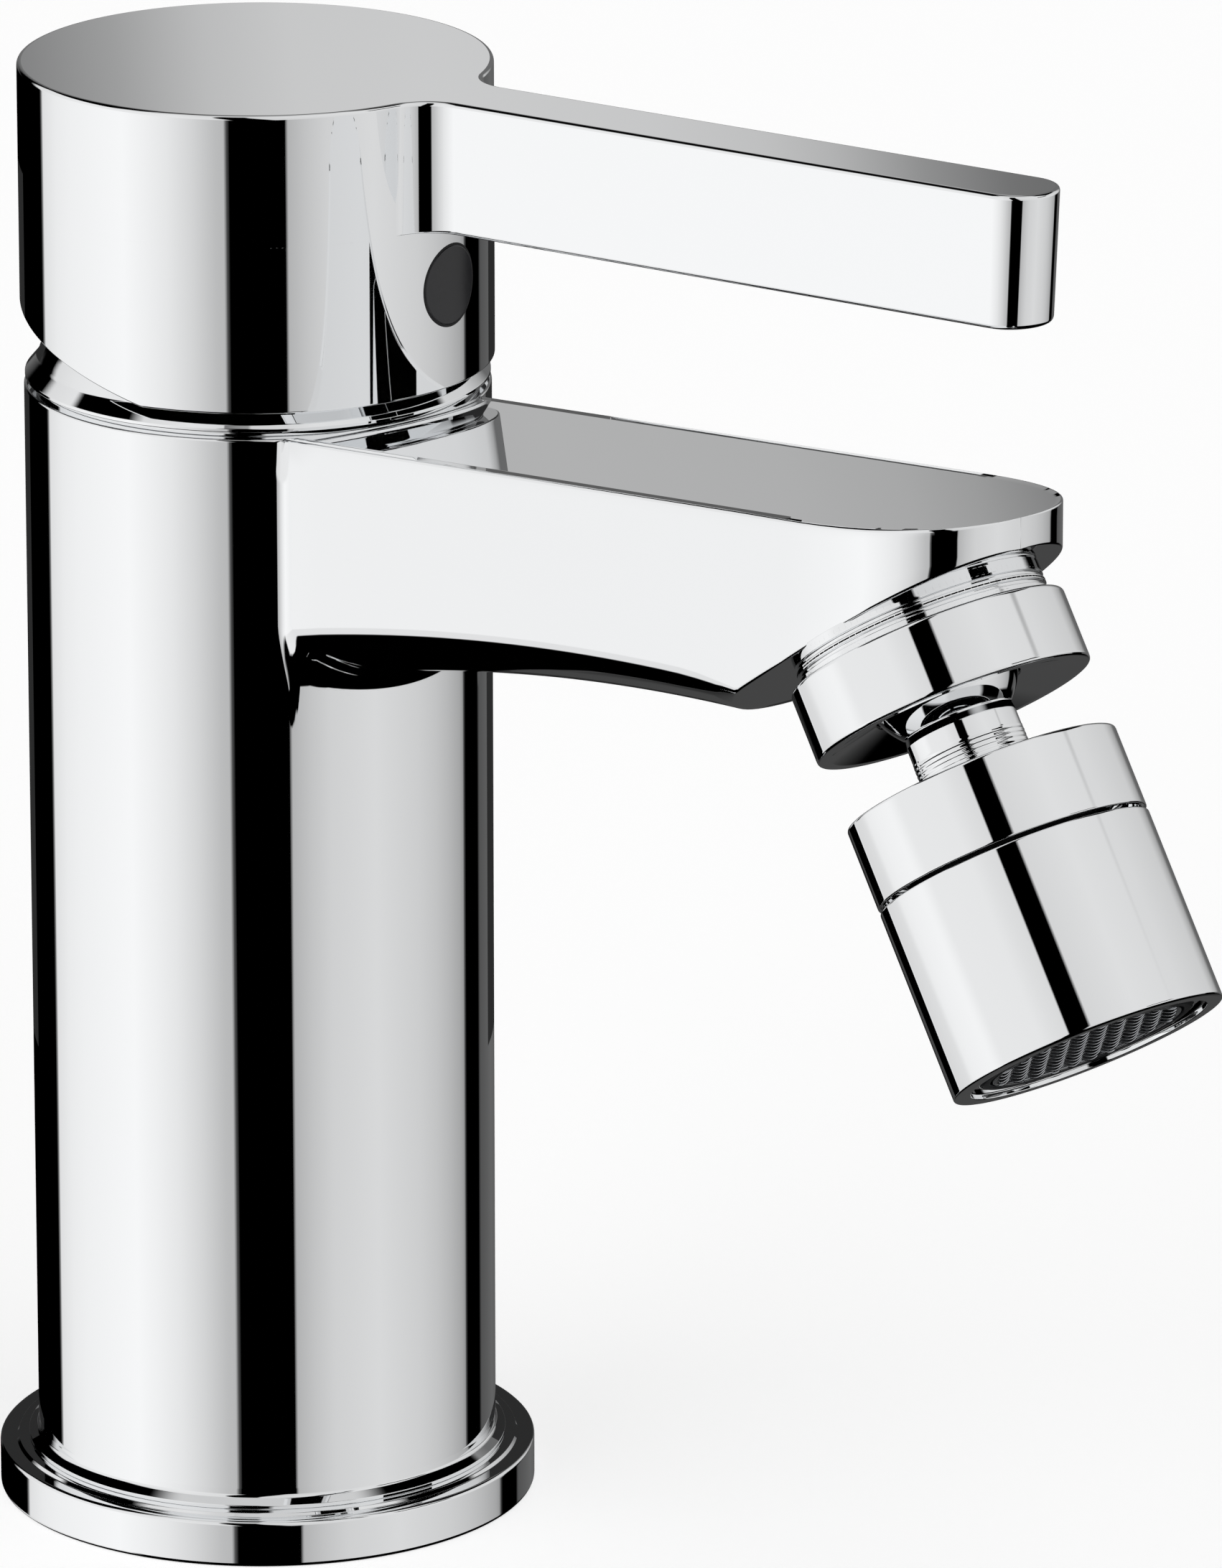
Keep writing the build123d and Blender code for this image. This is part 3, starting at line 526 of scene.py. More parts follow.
# The spout: a row inside the column, the fillet's rows, then every loop that lies
# past the fillet. Normals are the cross product of the two directions along the
# grid; the first rows of the fillet lean into the column's wall.
def spoutGrid():
    loop, nearCount = spoutLoops()
    fillet = rootFillet(loop, nearCount - 1)
    inside = fillet[0] * np.array((spout["insideShare"], spout["insideShare"], 1))
    inside[:, 2] = np.minimum(inside[:, 2], spout["insideTop"])
    past = [i for i in range(1, len(loop)) if (loop[i, :, 0] > fillet[-1, :, 0] + 0.3).all()]
    points = np.concatenate((inside[None], fillet, loop[past]))
    ring = np.concatenate((points[:, -1:], points, points[:, :1]), 1)
    around = alongRows(ring.transpose(1, 0, 2)).transpose(1, 0, 2)[:, 1:-1]
    normals = np.cross(alongRows(points), around)
    normals /= np.linalg.norm(normals, axis=2)[..., None] + 1e-12
    if (normals * (points - np.array(spout["middle"]))).sum() < 0:
        normals = -normals
    normals[-1] = normals[-2]
    wall = fillet[0] * np.array((1, 1, 0)) / body["radius"]
    count = spoutSteps["lean"]
    share = np.linspace(0, 1, count)[:, None, None]
    leaning = wall * (1 - share) + normals[count] * share
    normals[1:count + 1] = leaning / np.linalg.norm(leaning, axis=2)[..., None]
    normals[0] = wall
    return points, normals, False, (True, True)


newPiece("tap_body", [column, spoutGrid()], "chromed_brass", "body", ["mixer_body"])
print("column and spout made")

# Bounds of the casting's lower and inner part, in metres
core = dict(radius=0.0225, top=0.1145)


# Below and inside, the casting keeps the CAD body's own form: its triangles whose
# middles lie within the bounds, with nearly coincident corners made one
def castingCore():
    mesh = bpy.data.objects["mixer_body"].data
    spots = np.empty(len(mesh.vertices) * 3)
    mesh.vertices.foreach_get("co", spots)
    corners = np.empty(len(mesh.loops), int)
    mesh.loops.foreach_get("vertex_index", corners)
    places = spots.reshape(-1, 3)[corners.reshape(-1, 3)]
    middle = places.mean(1)
    near = (np.hypot(middle[:, 0], middle[:, 1]) < core["radius"]) & (middle[:, 2] < core["top"])
    merged, index = np.unique(
        np.round(places[near].reshape(-1, 3), 6), axis=0, return_inverse=True
    )
    faces = index.reshape(-1, 3)
    whole = (faces != np.roll(faces, 1, 1)).all(1)
    fresh = bpy.data.meshes.new("casting_core")
    fresh.from_pydata(merged.tolist(), [], faces[whole].tolist())
    placePiece("casting_core", fresh, "chromed_brass", "body")


castingCore()

# Cover ring: a dome struck from the handle's pivot that flares to a lip
cover = dict(
    bore=19.3,
    foot=21.8,
    lip=22.9,
    lipEdge=0.12,
    rim=114.7,
    lipBottom=115.4,
    lipTop=115.75,
    flare=(21.7, 117.15, 1.2),
    dome=(21.2, 118.6, 6.0),
    shoulder=(21.0, 121.0, 0.2),
)
newPiece(
    "ring_cover",
    [turned([
        (cover["bore"], cover["rim"], broken),
        (cover["foot"], cover["rim"], broken),
        (cover["foot"], cover["lipBottom"], broken),
        (cover["lip"], cover["lipBottom"], broken),
        (cover["lip"], cover["lipTop"], cover["lipEdge"]),
        cover["flare"],
        cover["dome"],
        cover["shoulder"],
        (cover["bore"], cover["shoulder"][1], broken),
    ])],
    "chromed_brass", "body", ["cover_ring"],
)

# Handle: a slab, a round cap with a flat lever, and the cap's skirt below it
handle = dict(
    radius=23.31,
    wall=1.7,
    bottom=117.35,
    top=147.0,
    leverBottom=133.9,
    half=4.15,
    reach=92.45,
    rootFillet=5.0,
    topEdge=0.45,
    lowerEdge=0.5,
    tipLean=0.6,
    leanFrom=84,
    leanOver=8,
    skirtInnerEdge=0.15,
    skirtEdge=0.2,
    skirtMeet=0.02,
    skirtLap=0.4,
    skirtStart=2.8,
    skirtPitch=15.0,
    azimuth=15.5,
)
# How many points each stretch of the handle's plan has, and each rounded edge
planSteps = dict(circle=241, hollow=31, tip=61, edge=8)


# Turns points and directions about the upright axis to the lever's side
def toLever(grid):
    angle = math.radians(handle["azimuth"])
    turn = np.array((
        (math.cos(angle), math.sin(angle), 0),
        (-math.sin(angle), math.cos(angle), 0),
        (0, 0, 1),
    ))
    points, normals, loop, poles = grid
    poles = tuple(p if p is None or p is True else np.array(p) @ turn for p in poles)
    return points @ turn, normals @ turn, loop, poles


# Plan of the handle, counterclockwise: the cap's circle, a hollow arc into the
# lever, its straight side and round end, and back; with its outward directions,
# and how far each place belongs to the lever: 0 on the circle, 1 past the hollow
def handlePlan():
    radius, half, fillet = handle["radius"], handle["half"], handle["rootFillet"]
    lift = half + fillet
    reachX = math.sqrt((radius + fillet) ** 2 - lift**2)
    contact = math.atan2(lift, reachX)
    angle = np.linspace(contact, 2 * np.pi - contact, planSteps["circle"])
    circle = np.c_[np.cos(angle), np.sin(angle)]
    bend = np.linspace(math.pi - contact, math.pi / 2, planSteps["hollow"])
    hollow = np.c_[np.cos(bend), np.sin(bend)]
    nearArc = np.array((reachX, -lift)) + fillet * hollow
    tipAngle = np.linspace(-math.pi / 2, math.pi / 2, planSteps["tip"])
    tip = np.c_[np.cos(tipAngle), np.sin(tipAngle)]
    roundEnd = tip * half + (handle["reach"] - half, 0)
    flip = np.array((1, -1))
    places = np.concatenate((radius * circle, nearArc[1:], roundEnd, (nearArc * flip)[:0:-1]))
    outward = np.concatenate((circle, -hollow[1:], tip, (-hollow * flip)[:0:-1]))
    ramp = np.linspace(0, 1, len(hollow))[1:]
    onLever = np.concatenate((np.zeros(len(circle)), ramp, np.ones(len(tip)), ramp[::-1]))
    return places, outward, onLever


# The slab: the plan at the top and at the lever's underside, each edge a parabola
# that draws in from the wall; the lever's end also draws in towards its foot, by
# the square of the share of the height
def handleSlab():
    places, outward, onLever = handlePlan()
    s = np.linspace(0, 1, planSteps["edge"])[:, None]
    top, bottom, edge = handle["top"], handle["leverBottom"], handle["topEdge"]
    lower = handle["lowerEdge"] * onLever[None]
    inset = np.concatenate((-edge * (1 - s) ** 2 + 0 * lower, -lower * s**2))
    height = np.concatenate((top - edge * s**2 + 0 * lower, bottom + lower * (1 - s) ** 2))
    sideways = np.concatenate((s, 1 - s)) + 0 * lower
    upward = np.concatenate((1 - s, -s)) + 0 * lower
    plan = places[None] + outward[None] * inset[..., None]
    points = np.concatenate((plan, height[..., None]), -1)
    share = (top - height) / (top - bottom)
    atTip = np.clip((points[..., 0] - handle["leanFrom"]) / handle["leanOver"], 0, 1)
    points[..., 0] -= handle["tipLean"] * share**2 * atTip
    normals = np.concatenate((outward[None] * sideways[..., None], upward[..., None]), -1)
    return points, normals, False, ((0, 0, top), (0, 0, bottom))


# The skirt is turned, then its lower edge rises behind along a slanted plane
def capSkirt():
    radius, low, high = handle["radius"], handle["bottom"], handle["leverBottom"]
    inner, lap, meet = radius - handle["wall"], handle["skirtLap"], handle["skirtMeet"]
    points, normals, loop, poles = turned([
        (inner, low, handle["skirtInnerEdge"]),
        (radius, low, handle["skirtEdge"]),
        (radius, high + meet, meet),
        (radius - lap, high + lap, broken),
        (inner, high + lap, broken),
    ])
    share = np.clip((high - points[..., 2]) / (high - low), 0, 1)
    behind = np.maximum(handle["skirtStart"] - points[..., 0], 0)
    points[..., 2] += behind * math.tan(math.radians(handle["skirtPitch"])) * share
    return points, normals, loop, poles


newPiece(
    "lever_handle",
    [toLever(handleSlab()), toLever(capSkirt())],
    "chromed_zinc", "lever", ["handle"],
)

# The screw's plug, and the thin dark joint round it. That joint's black is painted shade: a ring in
# the rubber finish that stands in for the shadow in the gap between plug and cap
plug = dict(height=127.6, radius=3.95, proud=0.1, edge=0.12, back=0.3, backEdge=0.02)
joint = dict(width=0.22, lap=0.1, depth=0.2, proud=0.012, edge=0.02, outerEdge=0.01)


# A round button laid on the cap's wall: rings about its middle, bent to the wall,
# from corners of ring radius and height over the wall
def onCapWall(corners, loop, poles):
    rows, slopes = softProfile(corners, closed=loop)
    ring, over = rows.T
    angle = np.linspace(0, 2 * np.pi, 64, endpoint=False)
    y = ring[:, None] * np.cos(angle)
    z = ring[:, None] * np.sin(angle)
    reach = handle["radius"] + over[:, None]
    x = np.sqrt(reach**2 - y**2)
    points = np.stack((x, y, z + plug["height"]), -1)
    radial = np.stack((x / reach, y / reach, 0 * x), -1)
    sideways = np.stack((0 * x, np.cos(angle) + 0 * x, np.sin(angle) + 0 * x), -1)
    slopes = slopes[:, :, None, None]
    normals = radial * slopes[:, 1] + sideways * slopes[:, 0]
    return toLever((points, normals, loop, poles))


plugCorners = [
    (keen, plug["proud"], 0),
    (plug["radius"] - keen, plug["proud"], plug["edge"]),
    (plug["radius"], -plug["back"], plug["backEdge"]),
    (keen, -plug["back"], 0),
]
newPiece(
    "screw_cover",
    [onCapWall(plugCorners, False, (True, True))],
    "dark_plastic", "lever", ["screw_plug"],
)
# Painted shadow gap: the ring's inner and outer radii, round the plug's edge
gapShadowInner, gapShadowOuter = plug["radius"] - joint["lap"], plug["radius"] + joint["width"]
gapShadowCorners = [
    (gapShadowInner, -joint["depth"], joint["edge"]),
    (gapShadowOuter, -joint["depth"], joint["edge"]),
    (gapShadowOuter, joint["proud"], joint["outerEdge"]),
    (gapShadowInner, joint["proud"], joint["outerEdge"]),
]
# Painted shadow gap: a thin black ring in the rubber finish, just proud of the cap's wall round the
# plug, stands in for the shade in the gap
newPiece("screw_cover_gap_shadow", [onCapWall(gapShadowCorners, True, (None, None))], "rubber", "lever")
print("cover ring and handle made")

# Outlet: everything below is turned about an axis that leans forward, and heights
# along it are depths below the outlet's face
outletLean = math.radians(spout["outletTilt"])
outletAxis = np.array((math.sin(outletLean), 0, -math.cos(outletLean)))
outlet = dict(origin=(spout["outletX"], 0, spout["outletHeight"]), axis=outletAxis)

# Threaded band between the spout and the collar: two round grooves in a ring
band = dict(
    radius=12.4,
    inner=11.0,
    height=2.6,
    lapAbove=0.3,
    lapBelow=0.1,
    groove=0.35,
    grooveHalf=0.25,
    grooveEdge=0.25,
    grooveFoot=0.2,
)
grooves = []
for depth in (band["height"] / 3, band["height"] * 2 / 3):
    low, high = depth - band["grooveHalf"], depth + band["grooveHalf"]
    foot = band["radius"] - band["groove"]
    grooves += [
        (band["radius"], low, band["grooveEdge"]),
        (foot, low, band["grooveFoot"]),
        (foot, high, band["grooveFoot"]),
        (band["radius"], high, band["grooveEdge"]),
    ]
newPiece(
    "threaded_band",
    [turned([
        (band["inner"], -band["lapAbove"], keen),
        (band["radius"], -band["lapAbove"], keen),
        *grooves,
        (band["radius"], band["height"] + band["lapBelow"], broken),
        (band["inner"], band["height"] + band["lapBelow"], keen),
    ], **outlet)],
    "chromed_brass", "body",
)

# Collar with a round socket for the ball, open below in a dished mouth
neck = dict(
    ball=7.6,
    centre=5.15,
    sweep=(68, -46, 40),
    radius=5.4,
    bore=3.6,
    hollow=(11.4, 0.6),
    footRound=0.3,
    bottom=20.9,
)
collar = dict(
    radius=13.6,
    bore=11.75,
    top=2.6,
    bottom=9.75,
    edge=0.4,
    mouth=12.4,
    mouthRound=0.5,
    lip=7.05,
    lipDepth=8.25,
    lipRound=0.25,
    socket=7.7,
    socketDepths=(7.4, 6.5),
    socketRound=7.0,
    socketTop=5.65,
    socketEdge=0.3,
)
socketWall = [
    (
        math.sqrt(collar["socket"] ** 2 - (depth - neck["centre"]) ** 2),
        depth,
        collar["socketRound"],
    )
    for depth in collar["socketDepths"]
]
newPiece(
    "joint_nut",
    [turned([
        (collar["bore"], collar["top"], broken),
        (collar["radius"], collar["top"], collar["edge"]),
        (collar["radius"], collar["bottom"], collar["edge"]),
        (collar["mouth"], collar["bottom"], collar["mouthRound"]),
        (collar["lip"], collar["lipDepth"], collar["lipRound"]),
        *socketWall,
        (collar["socket"], collar["socketTop"], collar["socketEdge"]),
        (collar["bore"], collar["socketTop"], collar["socketEdge"]),
    ], **outlet)],
    "chromed_brass", "body", ["joint_collar"],
)


# Ball and neck: a sphere that narrows by a small hollow to the neck
def ballNeck():
    start, stop, count = neck["sweep"]
    ball = [
        (neck["ball"] * math.cos(a), neck["centre"] - neck["ball"] * math.sin(a), neck["ball"])
        for a in np.linspace(math.radians(start), math.radians(stop), count)
    ]
    ball[0], ball[-1] = (*ball[0][:2], keen), (*ball[-1][:2], neck["footRound"])
    return turned([
        (neck["bore"], ball[0][1], broken),
        *ball,
        (neck["radius"], *neck["hollow"]),
        (neck["radius"], neck["bottom"], broken),
        (neck["bore"], neck["bottom"], broken),
    ], steps=4, **outlet)


# Two directions square to the outlet's axis, and a point on the axis at a depth
outletSide = np.array((0.0, 1.0, 0.0))
outletFront = np.cross(outletAxis, outletSide)


def onOutlet(depth):
    return np.array(outlet["origin"]) + outletAxis * depth[..., None]


# The thread winds: its height follows the cosine of depth over pitch less turns
# round the axis. It starts with a short run out, and is shallow.
thread = dict(top=13.0, bottom=16.6, pitch=0.45, height=0.035, proud=0.02, runOut=0.5)


def neckThread():
    depth = np.linspace(thread["top"], thread["bottom"], 121)[:, None]
    angle = np.linspace(0, 2 * np.pi, 96, endpoint=False)[None]
    phase = 2 * np.pi * (depth / thread["pitch"] - angle / (2 * np.pi))
    swing = np.clip((depth - thread["top"]) / thread["runOut"], 0, 1) * thread["height"]
    radius = neck["radius"] + thread["proud"] + swing * (0.5 + 0.5 * np.cos(phase))
    slope = -swing * np.pi / thread["pitch"] * np.sin(phase)
    radial = np.cos(angle)[..., None] * outletSide + np.sin(angle)[..., None] * outletFront
    points = onOutlet(depth) + radial * radius[..., None]
    return points, radial - outletAxis * slope[..., None], False, (True, True)


newPiece("ball_neck", [ballNeck(), neckThread()], "chromed_brass", "nozzle", ["ball_stem"])

# Aerator: a cap and a shell with a fine groove between them
aerator = dict(
    radius=13.35,
    top=16.45,
    topEdge=0.3,
    capBore=5.5,
    capEdge=0.2,
    capBottom=24.55,
    capRebate=0.45,
    capSpigot=2.0,
    shellTop=24.85,
    shellRebate=1.2,
    bottom=43.75,
    bottomEdge=0.25,
    bottomLean=0.35,
    bore=10.6,
    mouth=11.75,
    mouthEdge=0.12,
    ledge=43.2,
)
newPiece(
    "aerator_top",
    [turned([
        (aerator["capBore"], aerator["top"], keen),
        (aerator["radius"], aerator["top"], aerator["topEdge"]),
        (aerator["radius"], aerator["capBottom"] - keen, aerator["capEdge"]),
        (aerator["radius"] - aerator["capRebate"], aerator["capBottom"], keen),
        (
            aerator["radius"] - aerator["capRebate"],
            aerator["capBottom"] - aerator["capSpigot"],
            broken,
        ),
        (aerator["capBore"], aerator["capBottom"] - aerator["capSpigot"], broken),
    ], **outlet)],
    "chromed_brass", "nozzle", ["aerator_cap"],
)
newPiece(
    "aerator_body",
    [turned([
        (aerator["bore"], aerator["shellTop"] + 1, broken),
        (aerator["radius"] - aerator["shellRebate"], aerator["shellTop"] + 0.02, broken),
        (aerator["radius"], aerator["shellTop"] + keen, aerator["capEdge"]),
        (aerator["radius"], aerator["bottom"] - broken, aerator["bottomEdge"]),
        (aerator["radius"] - aerator["bottomLean"], aerator["bottom"], aerator["capEdge"]),
        (aerator["mouth"], aerator["bottom"], aerator["mouthEdge"]),
        (aerator["mouth"] - keen, aerator["ledge"], broken),
        (aerator["bore"], aerator["ledge"], broken),
    ], **outlet)],
    "chromed_brass", "nozzle", ["aerator_shell"],
)

# The insert that fills the mouth: a flat ring, a raised ring and a dark floor
dish = dict(
    floorRadius=9.5,
    floor=42.5,
    ringInner=9.65,
    ringOuter=10.3,
    ringTop=43.4,
    ringEdge=0.15,
    flatInner=10.45,
    flatOuter=11.6,
    flat=43.05,
    rimFoot=42.7,
    backRadius=11.0,
    back=42.1,
)
newPiece(
    "aerator_dish",
    [turned([
        (keen, dish["floor"], 0),
        (dish["floorRadius"], dish["floor"], broken),
        (dish["ringInner"], dish["ringTop"], dish["ringEdge"]),
        (dish["ringOuter"], dish["ringTop"], dish["ringEdge"]),
        (dish["flatInner"], dish["flat"], broken),
        (dish["flatOuter"], dish["flat"], broken),
        (dish["flatOuter"], dish["rimFoot"], keen),
        (dish["backRadius"], dish["back"], keen),
        (keen, dish["back"], 0),
    ], closed=False, **outlet)],
    "grey_plastic", "nozzle", ["aerator_insert"],
)

# Woven screen in the mouth: straight wires one way, and the other way wires that
# bow out between them. Real wires are finer; these are drawn as coarse as they
# need to show.
screen = dict(
    radius=9.3,
    depth=43.0,
    straightPitch=1.85,
    bowedPitch=1.75,
    wire=0.13,
    bow=0.4,
    turn=56.0,
    rimInner=0.55,
    rimOuter=0.08,
    rimHalf=0.35,
)


# Round wires side by side, each a tube of rings along a line across the disc. The
# line's depth follows the size of a sine of the place along it, and each ring
# leans with the line's slope.
def wires(pitch, direction, bow, bowPitch, count=72, sides=7):
    half = int(screen["radius"] / pitch)
    offset = (np.arange(-half, half + 1) * pitch)[:, None, None]
    length = np.sqrt(np.maximum(screen["radius"] ** 2 - offset**2, 0.2))
    along = np.linspace(-1, 1, count)[None, :, None] * length
    angle = np.linspace(0, 2 * np.pi, sides, endpoint=False)[None, None, :]
    lift = bow * np.abs(np.sin(np.pi * along / bowPitch))
    step = np.maximum(np.gradient(along[..., 0], axis=1), 1e-6)
    lean = np.arctan(np.gradient(lift[..., 0], axis=1) / step)[..., None]
    wayAlong = -np.sin(angle) * np.sin(lean)
    wayDown = np.sin(angle) * np.cos(lean)
    wayAside = np.cos(angle) + 0 * along
    turnAngle = math.radians(screen["turn"] + direction)
    u = math.cos(turnAngle) * outletFront + math.sin(turnAngle) * outletSide
    v = -math.sin(turnAngle) * outletFront + math.cos(turnAngle) * outletSide
    normals = wayAlong[..., None] * u + wayAside[..., None] * v + wayDown[..., None] * outletAxis
    line = onOutlet(screen["depth"] + lift) + along[..., None] * u + offset[..., None] * v
    points = line + screen["wire"] * normals
    return [(p, n, False, (True, True)) for p, n in zip(points, normals)]


rimInner, rimOuter = screen["radius"] - screen["rimInner"], screen["radius"] + screen["rimOuter"]
rimTop, rimBottom = screen["depth"] - screen["rimHalf"], screen["depth"] + screen["rimHalf"]
screenRim = turned([
    (rimInner, rimTop, broken),
    (rimOuter, rimTop, broken),
    (rimOuter, rimBottom, broken),
    (rimInner, rimBottom, broken),
], **outlet)
straightWires = wires(screen["straightPitch"], 90, 0, 1)
bowedWires = wires(screen["bowedPitch"], 0, screen["bow"], screen["straightPitch"])
newPiece(
    "woven_screen",
    straightWires + bowedWires + [screenRim],
    "steel_mesh", "nozzle", ["aerator_mesh"],
)
print("outlet, ball joint and aerator made")


# The camera stands back from its aim along the view's direction, and is rolled
# about that direction
def placeCamera():
    azimuth = math.radians(view["azimuth"])
    elevation = math.radians(view["elevation"])
    back = Vector((
        math.sin(azimuth) * math.cos(elevation),
        -math.cos(azimuth) * math.cos(elevation),
        math.sin(elevation),
    ))
    right = Vector((math.cos(azimuth), math.sin(azimuth), 0))
    aim = right * view["aimAcross"] + Vector((0, 0, view["aimHeight"]))
    turn = Matrix((right, back.cross(right), back)).transposed()
    roll = Matrix.Rotation(math.radians(view["roll"]), 3, "Z")
    data = bpy.data.cameras.new("photograph view")
    data.sensor_width = view["sensor"]
    data.lens = view["focalPixels"] * view["sensor"] / view["frameHeight"]
    data.clip_end = view["farthest"]
    camera = newObject("photograph view", data)
    camera.matrix_world = Matrix.Translation(aim + back * view["distance"]) @ (turn @ roll).to_4x4()
    bpy.context.scene.camera = camera


# The white paper that the tap stands on. Its own glow shows to the camera alone,
# and brings lit paper up to white while the tap's shadow stays.
floor = dict(size=6.0, colour="EDEDED", roughness=0.9, glow=0.6, fibre=1.25, relief=0.1)


# A flat square, with the relief of the paper's fibres, sizes in millimetres
def makeFloor():
    half = floor["size"] / 2
    corners = [(-half, -half, 0), (half, -half, 0), (half, half, 0), (-half, half, 0)]
    mesh = bpy.data.meshes.new("floor")
    mesh.from_pydata(corners, [], [(0, 1, 2, 3)])
    paper = newObject("floor", mesh)
    material, tree, shader = newMaterial("matt white paper")
    place = addNode(tree, "ShaderNodeTexCoord")
    fibre = addNode(
        tree,
        "ShaderNodeTexNoise",
        inputs={"Vector": place.outputs["Object"], "Scale": 1 / (floor["fibre"] * mm)},
    )
    relieved = {"Height": fibre.outputs["Fac"], "Strength": 0.05, "Distance": floor["relief"] * mm}
    relief = addNode(tree, "ShaderNodeBump", inputs=relieved)
    tree.links.new(relief.outputs["Normal"], shader.inputs["Normal"])
    path = addNode(tree, "ShaderNodeLightPath")
    glow = addNode(
        tree,
        "ShaderNodeMath",
        {"operation": "MULTIPLY"},
        {0: path.outputs["Is Camera Ray"], 1: floor["glow"]},
    )
    shader.inputs["Base Color"].default_value = linearColour(floor["colour"])
    shader.inputs["Roughness"].default_value = floor["roughness"]
    shader.inputs["Emission Color"].default_value = (1, 1, 1, 1)
    tree.links.new(glow.outputs[0], shader.inputs["Emission Strength"])
    mesh.materials.append(material)
    paper.visible_glossy = False


# A card that only the chrome sees, an upright strip bent round the tap behind it:
# from and to in degrees from the camera's side, metres out, low and high edges
backdrop = dict(start=145, end=215, out=0.150, low=0.0, high=0.100, colour="2C2C2C", count=33)


# Two rows of points on an arc about the tap, joined by upright faces
def makeBackdrop():
    count = backdrop["count"]
    angle = np.radians(view["azimuth"] + np.linspace(backdrop["start"], backdrop["end"], count))
    edge = np.c_[np.sin(angle), -np.cos(angle)] * backdrop["out"]
    low, high = np.full(count, backdrop["low"]), np.full(count, backdrop["high"])
    corners = np.r_[np.c_[edge, low], np.c_[edge, high]]
    index = np.arange(count - 1)
    faces = np.c_[index, index + 1, index + count + 1, index + count]
    mesh = bpy.data.meshes.new("behind")
    mesh.from_pydata(corners.tolist(), [], faces.tolist())
    material, tree, shader = newMaterial("grey card")
    shader.inputs["Base Color"].default_value = (0, 0, 0, 1)
    shader.inputs["Specular IOR Level"].default_value = 0.0
    shader.inputs["Roughness"].default_value = 1.0
    shader.inputs["Emission Color"].default_value = linearColour(backdrop["colour"])
    shader.inputs["Emission Strength"].default_value = 1.0
    mesh.materials.append(material)
    card = newObject("behind", mesh)
    card.visible_camera = card.visible_diffuse = card.visible_shadow = False


# The tent as the chrome sees it, by degrees round from the camera, right
# positive, and the grey seen there. From below, its walls are deep, under, low,
# high and upper, with a plain roof, and each gives way to the next between two
# heights, given as sines. Back is the wall behind, within a few degrees.
tent = dict(
    deep=[(-180, 0.27), (-168, 0.2), (-150, 0.0), (150, 0.0), (165, 0.27), (179, 0.27)],
    under=[
        (-180, 0.27), (-168, 0.27), (-150, 0.3), (-146, 0.85), (-112, 0.9), (-62, 0.95),
        (-58, 0.0), (150, 0.0), (165, 0.27), (179, 0.27),
    ],
    low=[
        (-180, 0.0), (-125.5, 0.0), (-124, 0.9), (-112, 0.95), (-100, 0.97), (-66, 1.0),
        (-54, 0.97), (-42, 0.93), (-30, 0.86), (-18, 0.76), (-13.5, 0.74), (-12.5, 0.0),
        (15.5, 0.0), (16.5, 0.72), (26, 0.79), (36, 0.84), (60, 0.875), (86, 0.83),
        (98, 0.79), (108, 0.74), (118, 0.67), (121.5, 0.6), (122.5, 0.0), (138, 0.0),
        (140, 0.33), (160, 0.4), (179, 0.36),
    ],
    high=[
        (-180, 0.5), (-164, 0.4), (-154, 0.25), (-150, 0.0), (-132, 0.0), (-126, 0.88),
        (-107, 0.92), (-90, 0.94), (-36, 0.93), (-24, 0.9), (-12.5, 0.88), (-11.5, 0.0),
        (8, 0.0), (9, 0.84), (60, 0.89), (110, 0.87), (140, 0.82), (150, 0.66),
        (156, 0.42), (172, 0.42),
    ],
    upper=[
        (-180, 0.6), (-168, 0.45), (-156, 0.0), (-74, 0.0), (-66, 0.88), (-36, 0.92),
        (-24, 0.9), (-12.5, 0.88), (-11.5, 0.0), (8, 0.0), (9, 0.86), (60, 0.9),
        (98, 0.88), (104, 0.0), (160, 0.0), (170, 0.42),
    ],
    back=[
        (-4, 0.42), (-0.5, 0.42), (-0.11, 0.46), (0.29, 0.58), (0.69, 0.72), (1.0, 0.775),
        (1.49, 0.805), (2.5, 0.82), (3.09, 0.81), (3.49, 0.76), (3.89, 0.64), (4.29, 0.54),
        (5.0, 0.45),
    ],
    backSpread=6,
    backHalf=4,
    backDim=0.72,
    backHeights=(0.10, 0.27),
    lean=0.27,
    backLean=0.12,
    deepEnds=(-0.585, -0.55),
    underEnds=(-0.4, -0.36),
    lowEnds=(-0.2, -0.06),
    upperStarts=(0.515, 0.56),
    roofStarts=(0.88, 0.94),
    roof=0.82,
    # a black screen at the front right, which the spout's top shows to the cap
    dark=dict(start=59, end=88, low=0.3, high=0.49),
)


